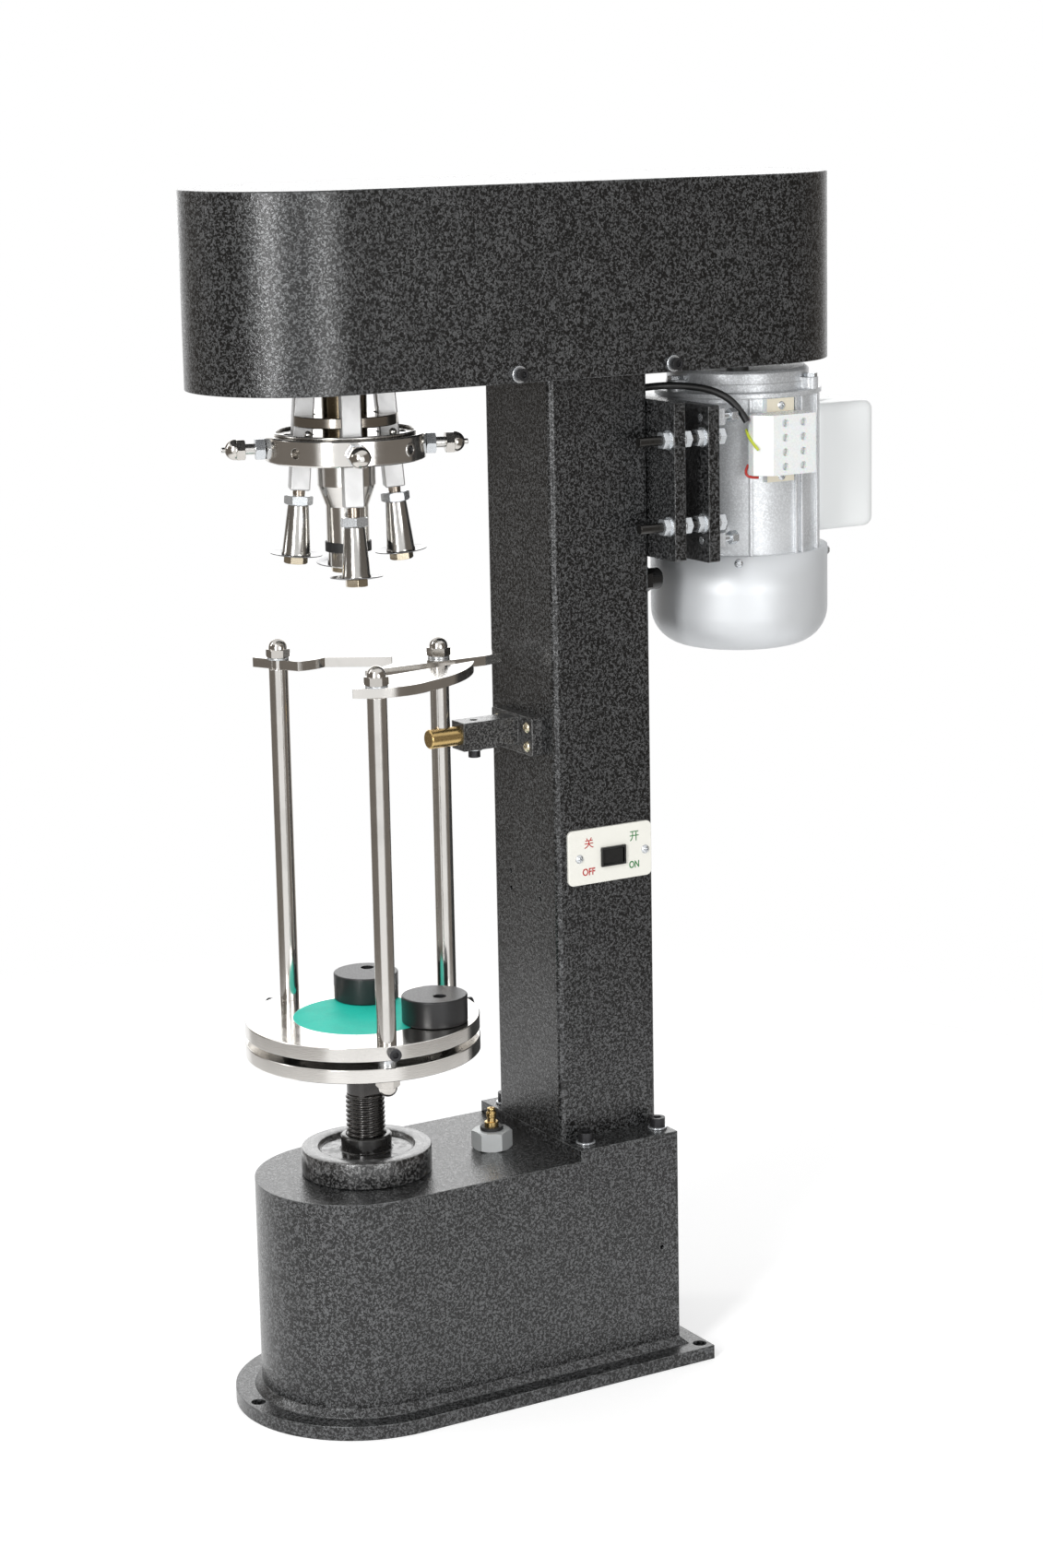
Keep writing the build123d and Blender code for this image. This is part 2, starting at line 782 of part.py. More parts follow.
export_step(switch_plate.part, "parts/switch_plate.step")

# Switch body, a box behind the plate that is open at its face
with BuildPart() as switch_body:
    with BuildSketch(facing_right(column_half + switch_t)):
        with Locations((rocker_mid_y, rocker_mid_z)):
            Rectangle(rocker_w, rocker_h)
    extrude(amount=-switch_depth)
    with BuildSketch(facing_right(column_half + switch_t)):
        with Locations((rocker_mid_y, rocker_mid_z)):
            Rectangle(rocker_w - 2 * switch_rim, rocker_h - 2 * switch_rim)
    extrude(amount=-(rocker_deep + rocker_rise + free_gap), mode=Mode.SUBTRACT)
switch_body.part.label = "switch_body"
export_step(switch_body.part, "parts/switch_body.step")

# Rocker, at rest tipped to its off side
rocker_half = (rocker_w - 2 * switch_rim) / 2 - free_gap - rocker_rise / 2
rocker_tall = rocker_h - 2 * switch_rim - 2 * free_gap
rocker_axis_x = column_half + switch_t - rocker_pin_sink
with BuildPart() as rocker:
    rocker_plane = Plane(
        origin=(rocker_axis_x, rocker_mid_y, rocker_mid_z - rocker_tall / 2),
        x_dir=(sin(radians(rocker_lean)), cos(radians(rocker_lean)), 0),
        z_dir=(0, 0, 1),
    )
    with BuildSketch(rocker_plane):
        with BuildLine():
            Line((-rocker_half, -rocker_pin_sink - rocker_rise), (rocker_half, -rocker_pin_sink - rocker_rise))
            Line((rocker_half, -rocker_pin_sink - rocker_rise), (rocker_half - rocker_rise, rocker_pin_sink / 2))
            Line((rocker_half - rocker_rise, rocker_pin_sink / 2), (-rocker_half + rocker_rise, rocker_pin_sink / 2))
            Line((-rocker_half + rocker_rise, rocker_pin_sink / 2), (-rocker_half, -rocker_pin_sink - rocker_rise))
        make_face()
    extrude(amount=rocker_tall)
rocker.part.label = "rocker"
export_step(rocker.part, "parts/rocker.step")

# Hexagon fitting on the base roof with its ring and grease nipple
with BuildPart() as lubrication_fitting:
    seat = Plane(origin=(fitting_x, fitting_y, body_top))
    prism(seat, fitting_across, fitting_h)
    chamfer(lubrication_fitting.faces().sort_by(Axis.Z)[-1].edges(), plunger_edge)
    with Locations(seat):
        Cylinder(nipple_r, body_roof, align=hang)
    with Locations(seat.offset(fitting_h)):
        Cylinder(fitting_ring_r, fitting_ring_h, align=stand)
    with Locations(seat.offset(fitting_h + fitting_ring_h)):
        Cylinder(nipple_r, nipple_h / 4, align=stand)
        Cylinder(nipple_waist_r, nipple_h, align=stand)
    with Locations(seat.offset(fitting_h + fitting_ring_h + nipple_h / 2)):
        Cylinder(nipple_r - washer_rim, nipple_h / 4, align=stand)
lubrication_fitting.part.label = "lubrication_fitting"
export_step(lubrication_fitting.part, "parts/lubrication_fitting.step")

# Bush in the base roof that guides the lift screw
with BuildPart() as lift_bush:
    with Locations((0, 0, body_top)):
        Cylinder(bush_r, bush_h, align=hang)
    with Locations((0, 0, body_top - body_roof)):
        Cylinder(bush_flange_r, bush_flange_t, align=hang)
    with Locations((0, 0, body_top)):
        Cylinder(lift_r + run_fit, bush_h, align=hang, mode=Mode.SUBTRACT)
lift_bush.part.label = "lift_bush"
export_step(lift_bush.part, "parts/lift_bush.step")

# Lock wheel, a threaded ring with a dished face and a hub
wheel_foot = body_top + free_gap
with BuildPart() as lock_wheel:
    with Locations((0, 0, wheel_foot)):
        Cylinder(wheel_r, wheel_h, align=stand)
    chamfer(lock_wheel.edges().filter_by(GeomType.CIRCLE), wheel_edge)
    with BuildSketch(Plane.XY.offset(wheel_foot + wheel_h)):
        Circle(wheel_r - wheel_rim)
    extrude(amount=-wheel_dish, mode=Mode.SUBTRACT)
    with Locations((0, 0, wheel_foot + wheel_h - wheel_dish)):
        Cylinder(wheel_hub_r, wheel_dish + wheel_hub_h, align=stand)
    chamfer(lock_wheel.faces().sort_by(Axis.Z)[-1].edges(), wheel_edge)
    with Locations((0, 0, wheel_foot)):
        Cylinder(lift_r + run_fit, wheel_h + wheel_hub_h, align=stand, mode=Mode.SUBTRACT)
lock_wheel.part.label = "lock_wheel"
export_step(lock_wheel.part, "parts/lock_wheel.step")

# Lift screw, with a flatted neck and a spigot into the lower disc
with BuildPart() as lift_screw:
    with Locations((0, 0, lift_foot_z)):
        Cylinder(lift_r, lift_neck_z - lift_foot_z, align=stand)
    chamfer(lift_screw.edges().filter_by(GeomType.CIRCLE), wheel_edge)
    with BuildSketch(Plane.XY.offset(lift_neck_z)):
        Circle(lift_neck_r)
        Rectangle(lift_neck_across, 2 * lift_neck_r, mode=Mode.INTERSECT)
    extrude(amount=lower_under - lift_neck_z)
    with Locations((0, 0, lower_under)):
        Cylinder(lift_spigot_r, lower_disc_t, align=stand)
lift_screw.part.label = "lift_screw"
export_step(lift_screw.part, "parts/lift_screw.step")

# Lower and upper discs of the platform
with BuildPart() as lower_disc:
    with Locations((0, 0, lower_under)):
        Cylinder(lower_disc_r, lower_disc_t, align=stand)
    chamfer(lower_disc.edges().filter_by(GeomType.CIRCLE), disc_edge)
    bore(Plane.XY.offset(lower_top), lift_spigot_r, lower_disc_t)
    for x, y in post_points:
        bore(Plane(origin=(x, y, lower_top)), post_spigot_r, lower_disc_t)
lower_disc.part.label = "lower_disc"
export_step(lower_disc.part, "parts/lower_disc.step")

with BuildPart() as platform_disc:
    with Locations((0, 0, upper_under)):
        Cylinder(platform_r, platform_t, align=stand)
    chamfer(platform_disc.edges().filter_by(GeomType.CIRCLE), disc_edge)
    bore(Plane.XY.offset(platform_top), pad_r, pad_t)
    for x, y in post_points:
        bore(Plane(origin=(x, y, platform_top)), post_spigot_r, platform_t)
    for x, y in stop_screw.values():
        bore(Plane(origin=(x, y, platform_top)), stop_screw_r, stop_screw_deep)
    for angle in rim_screw_angles:
        seat = outward(angle, platform_r, upper_under + platform_t / 2)
        bore(seat, m6_shank, platform_r - post_place_r - post_spigot_r)
platform_disc.part.label = "platform_disc"
export_step(platform_disc.part, "parts/platform_disc.step")

# Grip pad let into the platform, with clearance for the screws of the stops
with BuildPart() as bottle_pad:
    with Locations((0, 0, platform_top)):
        Cylinder(pad_r, pad_t, align=hang)
    for x, y in stop_screw.values():
        bore(Plane(origin=(x, y, platform_top)), stop_screw_r + free_gap, pad_t)
bottle_pad.part.label = "bottle_pad"
export_step(bottle_pad.part, "parts/bottle_pad.step")

# Posts, each with a spigot at both ends
dome_hold = dome_nut_h + dome_neck
with BuildPart() as platform_posts:
    for x, y in post_points:
        with Locations((x, y, platform_top)):
            Cylinder(post_r, post_shoulder_z - platform_top, align=stand)
        with Locations((x, y, lower_under - dome_hold)):
            Cylinder(post_spigot_r, platform_top - lower_under + dome_hold, align=stand)
        with Locations((x, y, post_shoulder_z)):
            Cylinder(post_spigot_r, neck_t + washer_t + dome_hold, align=stand)
platform_posts.part.label = "platform_posts"
export_step(platform_posts.part, "parts/platform_posts.step")

# Domed nuts, washers and spacers of the posts
with BuildPart() as post_fasteners:
    for x, y in post_points:
        seat = Plane(origin=(x, y, neck_top))
        with Locations(seat):
            Cylinder(dome_r + washer_rim, washer_t, align=stand)
        dome_nut(seat, dome_nut_across, dome_nut_h, dome_r, dome_neck, washer_t)
        bore(seat.offset(washer_t + dome_hold), post_spigot_r, washer_t + dome_hold)
        seat = Plane(origin=(x, y, lower_under), z_dir=(0, 0, -1))
        dome_nut(seat, dome_nut_across, dome_nut_h, dome_r, dome_neck)
        bore(seat.offset(dome_hold), post_spigot_r, dome_hold)
        with Locations((x, y, lower_top)):
            Cylinder(post_spacer_r, disc_space, align=stand)
            Cylinder(post_spigot_r, disc_space, align=stand, mode=Mode.SUBTRACT)
post_fasteners.part.label = "post_fasteners"
export_step(post_fasteners.part, "parts/post_fasteners.step")

# Screws of the platform: rim screws that clamp the posts, and screws the stops turn on
with BuildPart() as platform_screws:
    for angle in rim_screw_angles:
        seat = outward(angle, platform_r, upper_under + platform_t / 2)
        socket_screw(seat, m6_shank, m6_head, m6_head_h, platform_r - post_place_r - post_r, washer=False)
    for x, y in stop_screw.values():
        shoulder = free_gap + stop_h - stop_sink + free_gap
        seat = Plane(origin=(x, y, platform_top + shoulder))
        socket_screw(seat, stop_screw_r, stop_head_r, stop_head_h, shoulder + stop_screw_deep, washer=False)
platform_screws.part.label = "platform_screws"
export_step(platform_screws.part, "parts/platform_screws.step")

# Bottle stops
for side, (x, y) in stop_centre.items():
    hole_x, hole_y = stop_screw[side]
    with BuildPart() as bottle_stop:
        with Locations((x, y, platform_top + free_gap)):
            Cylinder(stop_r, stop_h, align=stand)
        fillet(bottle_stop.edges().filter_by(GeomType.CIRCLE), stop_edge)
        top = Plane(origin=(hole_x, hole_y, platform_top + free_gap + stop_h))
        bore(top, stop_screw_r + run_fit, stop_h)
        bore(top, stop_head_r + free_gap, stop_sink)
    bottle_stop.part.label = f"bottle_stop_{side}"
    export_step(bottle_stop.part, f"parts/bottle_stop_{side}.step")

# Neck plates, one on each post, with a gap for the bottle neck between them
with BuildPart() as neck_plates:
    with BuildSketch(Plane.XY.offset(post_shoulder_z)):
        with BuildLine():
            Line((66.0, -33.0), (75.0, -39.0))
            ThreePointArc((75.0, -39.0), (90.0, -6.0), (83.0, 26.0))
            ThreePointArc((83.0, 26.0), (61.0, 67.0), (25.0, 98.5))
            Line((25.0, 98.5), (41.0, 9.0))
            Line((41.0, 9.0), (66.0, -33.0))
        make_face()
        with BuildLine():
            Line((-98.0, -41.0), (-57.5, -20.0))
            ThreePointArc((-57.5, -20.0), (-60.5, 4.0), (-62.0, 7.0))
            Line((-62.0, 7.0), (-31.0, 53.0))
            ThreePointArc((-31.0, 53.0), (-78.0, 30.0), (-98.0, -41.0))
        make_face()
        with BuildLine():
            Line((13.0, 5.0), (10.0, 118.0))
            Line((10.0, 118.0), (5.0, 136.0))
            Line((5.0, 136.0), (-41.0, 137.0))
            Line((-41.0, 137.0), (-34.0, 74.0))
            ThreePointArc((-34.0, 74.0), (-8.0, 45.0), (13.0, 5.0))
        make_face()
        with Locations(*post_points):
            Circle(post_spigot_r, mode=Mode.SUBTRACT)
    extrude(amount=neck_t)
neck_plates.part.label = "neck_plates"
export_step(neck_plates.part, "parts/neck_plates.step")

# Spindle with its top nut
pulley_under = belt_z - pulley_h / 2
hub_top = belt_z + pulley_h / 2 + pulley_lift
with BuildPart() as spindle:
    with Locations((0, 0, ring_z - spindle_spigot)):
        Cylinder(spindle_r, bearing_low - free_gap - ring_z + spindle_spigot, align=stand)
    with Locations((0, 0, bearing_low - free_gap)):
        Cylinder(journal_r, hub_top + spindle_nut_h + free_gap - bearing_low + pulley_lift, align=stand)
    prism(Plane.XY.offset(hub_top), spindle_nut_across, spindle_nut_h)
spindle.part.label = "spindle"
export_step(spindle.part, "parts/spindle.step")


def pulley_half(outer, hub, shaft):
    """Half section of a V-grooved pulley about the Z axis."""
    foot = belt_z - pulley_h / 2
    top = belt_z + pulley_h / 2
    rim_gap = belt_w / 2 + free_gap
    floor_gap = belt_inner_w / 2 - groove_extra / 3 + free_gap
    with BuildSketch(Plane.XZ) as half:
        with BuildLine():
            Polyline(
                (shaft, foot - pulley_lift + free_gap),
                (hub, foot - pulley_lift + free_gap),
                (hub, foot),
                (outer, foot),
                (outer, belt_z - rim_gap),
                (outer - belt_t - groove_extra, belt_z - floor_gap),
                (outer - belt_t - groove_extra, belt_z + floor_gap),
                (outer, belt_z + rim_gap),
                (outer, top),
                (hub, top),
                (hub, hub_top),
                (shaft, hub_top),
                close=True,
            )
        make_face()
    return half.sketch


# Pulleys on the spindle and on the motor shaft
with BuildPart() as spindle_pulley:
    revolve(pulley_half(head_pulley_r, pulley_hub_r, journal_r), axis=Axis.Z)
spindle_pulley.part.label = "spindle_pulley"
export_step(spindle_pulley.part, "parts/spindle_pulley.step")

with BuildPart() as motor_pulley:
    motor_half = pulley_half(motor_pulley_r, motor_hub_r, shaft_r)
    revolve(motor_half.moved(Location((0, motor_y, 0))), axis=Axis((0, motor_y, 0), (0, 0, 1)))
motor_pulley.part.label = "motor_pulley"
export_step(motor_pulley.part, "parts/motor_pulley.step")

# V-belt round the two pulleys
head_belt_r = head_pulley_r - belt_t / 2
motor_belt_r = motor_pulley_r - belt_t / 2
belt_lean = asin((head_belt_r - motor_belt_r) / motor_y)
belt_x = cos(belt_lean)
belt_y = sin(belt_lean)
with BuildPart() as v_belt:
    with BuildLine() as belt_path:
        head_point = (head_belt_r * belt_x, head_belt_r * belt_y, belt_z)
        motor_point = (motor_belt_r * belt_x, motor_y + motor_belt_r * belt_y, belt_z)
        head_far = (-head_point[0], head_point[1], belt_z)
        motor_far = (-motor_point[0], motor_point[1], belt_z)
        Line(head_point, motor_point)
        ThreePointArc(motor_point, (0, motor_y + motor_belt_r, belt_z), motor_far)
        Line(motor_far, head_far)
        ThreePointArc(head_far, (0, -head_belt_r, belt_z), head_point)
    run = Vector(*motor_point) - Vector(*head_point)
    with BuildSketch(Plane(origin=head_point, x_dir=(belt_x, belt_y, 0), z_dir=run)):
        with BuildLine():
            Polyline(
                (belt_t / 2, belt_w / 2),
                (-belt_t / 2, belt_inner_w / 2),
                (-belt_t / 2, -belt_inner_w / 2),
                (belt_t / 2, -belt_w / 2),
                close=True,
            )
        make_face()
    sweep(path=belt_path.wire())
v_belt.part.label = "v_belt"
export_step(v_belt.part, "parts/v_belt.step")

# Head disc with open slots for the arms
with BuildPart() as head_disc:
    with Locations((0, 0, disc_z)):
        Cylinder(disc_r, disc_t, align=stand)
    chamfer(head_disc.edges().filter_by(GeomType.CIRCLE), disc_edge)
    bore(Plane.XY.offset(disc_z + disc_t), spindle_r, disc_t)
    for angle in arm_angles.values():
        with BuildSketch(Plane.XY.offset(disc_z).rotated((0, 0, angle))):
            with Locations(((slot_inner_r + disc_r + free_gap) / 2, 0)):
                Rectangle(disc_r + free_gap - slot_inner_r, arm_w + 2 * free_gap)
        extrude(amount=disc_t, mode=Mode.SUBTRACT)
head_disc.part.label = "head_disc"
export_step(head_disc.part, "parts/head_disc.step")

# Head ring with a window, a pivot bore and an adjuster hole for each arm
ring_mid = ring_z + ring_t / 2
with BuildPart() as head_ring:
    with Locations((0, 0, ring_z)):
        Cylinder(ring_r, ring_t, align=stand)
    chamfer(head_ring.edges().filter_by(GeomType.CIRCLE), ring_edge)
    bore(Plane.XY.offset(ring_z + ring_t), spindle_r, ring_t)
    for angle in arm_angles.values():
        turned = Plane.XY.offset(ring_z).rotated((0, 0, angle))
        with BuildSketch(turned):
            with Locations(((window_inner_r + window_outer_r) / 2, 0)):
                Rectangle(window_outer_r - window_inner_r, arm_w + 2 * free_gap)
        extrude(amount=ring_t, mode=Mode.SUBTRACT)
        with Locations(Plane(origin=turned.from_local_coords((arm_pivot_r, 0, arm_pivot_z - ring_z)), z_dir=turned.y_dir)):
            Cylinder(arm_pin_r, arm_w + 2 * arm_pin_hold, mode=Mode.SUBTRACT)
        bore(outward(angle, ring_r, ring_mid), adjuster_r, ring_r - window_outer_r)
        bore(outward(angle + between_arms, ring_r, ring_mid), set_screw_r, set_screw_len + set_screw_sunk)
        stem = outward(angle + between_arms, ball_place_r, ring_z + ring_t)
        bore(Plane(origin=stem.origin), ball_stem_r, ball_lift)
head_ring.part.label = "head_ring"
export_step(head_ring.part, "parts/head_ring.step")

# Fasteners of the head ring: pivot pins, adjusters, set screws and ball studs
with BuildPart() as ring_bolts:
    for angle in arm_angles.values():
        turned = Plane.XY.offset(ring_z).rotated((0, 0, angle))
        with Locations(Plane(origin=turned.from_local_coords((arm_pivot_r, 0, arm_pivot_z - ring_z)), z_dir=turned.y_dir)):
            Cylinder(arm_pin_r, arm_w + 2 * arm_pin_hold)
        arm_out = arm_pivot_r - (ring_mid - arm_pivot_z) * tan(radians(arm_tilt)) + arm_w / 2
        tip_r = arm_out + adjuster_tip_gap
        nut = outward(angle, ring_r, ring_mid)
        dome_lift = adjuster_nut_h + adjuster_free
        with Locations(outward(angle, tip_r, ring_mid)):
            Cylinder(adjuster_r, ring_r - tip_r + dome_lift, align=stand)
        prism(nut, adjuster_nut_across, adjuster_nut_h)
        dome_ball = adjuster_dome_r - disc_edge
        dome_nut(nut, adjuster_nut_across, adjuster_dome_hex_h, dome_ball, disc_edge, dome_lift)
        dome_tip = dome_lift + adjuster_dome_hex_h + dome_ball
        with Locations(nut.offset(dome_tip)):
            Cylinder(adjuster_tip_r, adjuster_tip, align=stand)
        socket_seat = outward(angle + between_arms, ring_r - set_screw_sunk, ring_mid)
        with Locations(socket_seat):
            Cylinder(set_screw_r, set_screw_len, align=hang)
        with BuildSketch(socket_seat) as socket:
            RegularPolygon(set_screw_r / 2, 6, major_radius=False)
        extrude(socket.sketch, amount=-set_screw_socket, mode=Mode.SUBTRACT)
        stem = outward(angle + between_arms, ball_place_r, ring_z + ring_t).origin
        with Locations(stem):
            Cylinder(ball_stem_r, ball_lift, align=hang)
            Cylinder(ball_stem_r, ball_lift, align=stand)
        with Locations(stem + Vector(0, 0, ball_lift)):
            Sphere(ball_r)
ring_bolts.part.label = "ring_bolts"
export_step(ring_bolts.part, "parts/ring_bolts.step")

# Round wire ring that lies on the head ring about the arms
with BuildPart() as garter_ring:
    with Locations((0, 0, ring_z + ring_t + garter_wire_r)):
        Torus(garter_r, garter_wire_r)
garter_ring.part.label = "garter_ring"
export_step(garter_ring.part, "parts/garter_ring.step")

# Pressure sleeve below the ring, with a stepped bore for the plunger
with BuildPart() as pressure_sleeve:
    with BuildSketch(Plane.XZ):
        with BuildLine():
            Polyline(
                (spindle_r, ring_z),
                (sleeve_top_r, ring_z),
                (sleeve_top_r, sleeve_cone_top),
                (sleeve_r, sleeve_cone_foot),
                (sleeve_r, sleeve_foot),
                (sleeve_bore, sleeve_foot),
                (sleeve_bore, sleeve_step_z),
                (sleeve_step_r, sleeve_step_z),
                (sleeve_step_r, ring_z - spindle_spigot),
                (spindle_r, ring_z - spindle_spigot),
                close=True,
            )
        make_face()
    revolve(axis=Axis.Z)
pressure_sleeve.part.label = "pressure_sleeve"
export_step(pressure_sleeve.part, "parts/pressure_sleeve.step")

# Rubber ring round the foot of the sleeve
with BuildPart() as pressure_ring:
    with Locations((0, 0, sleeve_foot)):
        Cylinder(rubber_r, rubber_h, align=stand)
        Cylinder(sleeve_r, rubber_h, align=stand, mode=Mode.SUBTRACT)
pressure_ring.part.label = "pressure_ring"
export_step(pressure_ring.part, "parts/pressure_ring.step")

# Cap plunger, a stepped pin that hangs on the step of the sleeve
plunger_r = sleeve_bore - run_fit
with BuildPart() as cap_plunger:
    with Locations((0, 0, sleeve_foot - plunger_drop)):
        Cylinder(plunger_r, sleeve_step_z + plunger_drop - sleeve_foot, align=stand)
    chamfer(cap_plunger.edges().filter_by(GeomType.CIRCLE).sort_by(Axis.Z)[0], plunger_edge)
    with Locations((0, 0, sleeve_step_z)):
        Cylinder(sleeve_step_r - slide_fit, plunger_head_h, align=stand)
cap_plunger.part.label = "cap_plunger"
export_step(cap_plunger.part, "parts/cap_plunger.step")

# Arms, each a square bar on its pivot with a stud and lock nut for the roller
for name in arm_names:
    angle = arm_angles[name]
    holder_top = disc_drop[name] - holder_h
    nut_foot = holder_top - free_gap
    with BuildPart() as arm:
        with BuildSketch(arm_plane(angle, -arm_drop[name])):
            Rectangle(arm_w, arm_w)
        extrude(amount=arm_drop[name] + arm_rise)
        chamfer(arm.edges(), arm_edge)
        with Locations(arm_plane(angle, 0)):
            Cylinder(arm_pin_r + run_fit, 2 * arm_w, rotation=(90, 0, 0), mode=Mode.SUBTRACT)
        with Locations(arm_plane(angle, -arm_drop[name])):
            Cylinder(stud_r, disc_drop[name] - arm_drop[name] - holder_cap, align=hang)
        prism(arm_plane(angle, -nut_foot), lock_nut_across, lock_nut_h)
    arm.part.label = f"arm_{name}"
    export_step(arm.part, f"parts/arm_{name}.step")

# Rollers, each a tapered holder with its saucer disc and nut, running on the stud
for name in arm_names:
    with BuildPart() as roller:
        section = arm_plane(arm_angles[name], -disc_drop[name])
        side = Plane(origin=section.origin, x_dir=section.x_dir, z_dir=-section.y_dir)
        with BuildSketch(side) as half:
            with BuildLine():
                Polyline(
                    (0, holder_cap - free_gap),
                    (stud_r + run_fit, holder_cap - free_gap),
                    (stud_r + run_fit, holder_h),
                    (holder_top_r, holder_h),
                    (holder_foot_r, 0),
                    (saucer_flat_r, 0),
                    (saucer_r, saucer_rise),
                    (saucer_r, saucer_rise - saucer_t),
                    (saucer_flat_r, -saucer_t),
                    (0, -saucer_t),
                    close=True,
                )
            make_face()
        revolve(half.sketch, axis=Axis(section.origin, section.z_dir))
        prism(arm_plane(arm_angles[name], -disc_drop[name] - saucer_t - roller_nut_h), roller_nut_across, roller_nut_h)
    roller.part.label = f"roller_{name}"
    export_step(roller.part, f"parts/roller_{name}.step")

# Motor plate on the studs
with BuildPart() as motor_plate:
    with BuildSketch(facing_rear(motor_plate_y)):
        with Locations((0, sum(motor_plate_z) / 2)):
            RectangleRounded(2 * plate_half, motor_plate_z[1] - motor_plate_z[0], plate_corner)
        with Locations(*[(x, z) for x in (stud_x, -stud_x) for z in stud_z]):
            Circle(m8_shank, mode=Mode.SUBTRACT)
        with Locations(*[(x, z) for x in (foot_bolt_x, -foot_bolt_x) for z in foot_bolt_z]):
            Circle(m6_shank, mode=Mode.SUBTRACT)
    extrude(amount=plate_t)
motor_plate.part.label = "motor_plate"
export_step(motor_plate.part, "parts/motor_plate.step")

# Tension studs and their nuts, on both sides of each plate
motor_plate_back = motor_plate_y + plate_t
nut_stack = washer_t + m8_nut_h
with BuildPart() as tension_studs:
    for x in (stud_x, -stud_x):
        for z in stud_z:
            with Locations(Plane(origin=(x, stud_front, z), z_dir=(0, 1, 0))):
                Cylinder(m8_shank, motor_plate_back + nut_stack + stud_rear_free - stud_front, align=stand)
tension_studs.part.label = "tension_studs"
export_step(tension_studs.part, "parts/tension_studs.step")

with BuildPart() as stud_nuts:
    for x in (stud_x, -stud_x):
        for z in stud_z:
            for y in (column_rear, motor_plate_y):
                seat = Plane(origin=(x, y, z), x_dir=(1, 0, 0), z_dir=(0, -1, 0))
                hex_nut(seat, m8_nut_across, m8_nut_h, m8_head + washer_rim)
            for y in (column_rear + plate_t, motor_plate_back):
                seat = Plane(origin=(x, y, z), x_dir=(1, 0, 0), z_dir=(0, 1, 0))
                hex_nut(seat, m8_nut_across, m8_nut_h, m8_head + washer_rim)
            with Locations(Plane(origin=(x, stud_front, z), z_dir=(0, 1, 0))):
                Cylinder(m8_shank, motor_plate_back + nut_stack + stud_rear_free - stud_front, align=stand, mode=Mode.SUBTRACT)
stud_nuts.part.label = "stud_nuts"
export_step(stud_nuts.part, "parts/stud_nuts.step")

# Motor frame with ribs, feet and the lower end shield that goes into the cowl
frame_height = motor_z[1] - motor_z[0]
shield_into_cowl = cowl_round
with BuildPart() as motor_frame:
    with Locations((0, motor_y, motor_z[0])):
        Cylinder(motor_r, frame_height, align=stand)
    with Locations((0, motor_y, motor_z[1] - motor_lip_h)):
        Cylinder(motor_r + motor_lip, motor_lip_h, align=stand)
    for angle in rib_angles:
        with BuildSketch(Plane.XY.offset(motor_z[0])):
            with Locations(Location((0, motor_y, 0), (0, 0, angle))):
                with Locations((motor_r + rib_h / 2 - motor_lip / 2, 0)):
                    Rectangle(rib_h + motor_lip, rib_w)
        extrude(amount=frame_height - motor_lip_h)
    with Locations((0, motor_y, motor_z[0])):
        Cylinder(cowl_r - cowl_wall, shield_into_cowl, align=hang)
    bore(Plane(origin=(0, motor_y, motor_z[1])), shaft_r + run_fit, frame_height + shield_into_cowl)
    with Locations((0, motor_y, rotor_z[0] - free_gap)):
        Cylinder(rotor_r + free_gap, rotor_z[1] - rotor_z[0] + 2 * free_gap, align=stand, mode=Mode.SUBTRACT)
motor_frame.part.label = "motor_frame"
export_step(motor_frame.part, "parts/motor_frame.step")

# Feet of the motor, two webs between its frame and the motor plate
foot_web_y = motor_y - sqrt(motor_r ** 2 - foot_web_half ** 2)
with BuildPart() as motor_feet:
    for low, high in foot_z:
        with BuildSketch(Plane.XY.offset(low)):
            with BuildLine():
                Polyline(
                    (-foot_half, motor_plate_back),
                    (foot_half, motor_plate_back),
                    (foot_half, motor_plate_back + foot_t),
                    (foot_web_half, foot_web_y),
                    (-foot_web_half, foot_web_y),
                    (-foot_half, motor_plate_back + foot_t),
                    close=True,
                )
            make_face()
        extrude(amount=high - low)
    with Locations((0, motor_y, motor_z[0])):
        Cylinder(motor_r, frame_height, align=stand, mode=Mode.SUBTRACT)
    for x in (foot_bolt_x, -foot_bolt_x):
        for z in foot_bolt_z:
            bore(Plane(origin=(x, motor_plate_back + foot_t * 3, z), z_dir=(0, 1, 0)), m6_shank, foot_t * 3)
motor_feet.part.label = "motor_feet"
export_step(motor_feet.part, "parts/motor_feet.step")

# Upper end shield with three bolt lugs
with BuildPart() as motor_end_shield:
    with Locations((0, motor_y, motor_z[1])):
        Cylinder(shield_r, shield_seam - motor_z[1], align=stand)
    with Locations((0, motor_y, shield_seam)):
        Cylinder(shield_r - disc_edge, shield_top - shield_seam, align=stand)
    chamfer(motor_end_shield.faces().sort_by(Axis.Z)[-1].edges(), 2 * wheel_edge)
    for angle in lug_angles:
        with BuildSketch(Plane.XY.offset(motor_z[1])):
            with Locations(Location((0, motor_y, 0), (0, 0, angle))):
                with Locations((lug_reach, 0)):
                    Circle(lug_r)
                with Locations((lug_reach - lug_r, 0)):
                    Rectangle(2 * lug_r, 2 * lug_r)
        extrude(amount=lug_z[1] - motor_z[1])
    bore(Plane(origin=(0, motor_y, shield_top)), shaft_r + run_fit, shield_top - motor_z[1])
motor_end_shield.part.label = "motor_end_shield"
export_step(motor_end_shield.part, "parts/motor_end_shield.step")

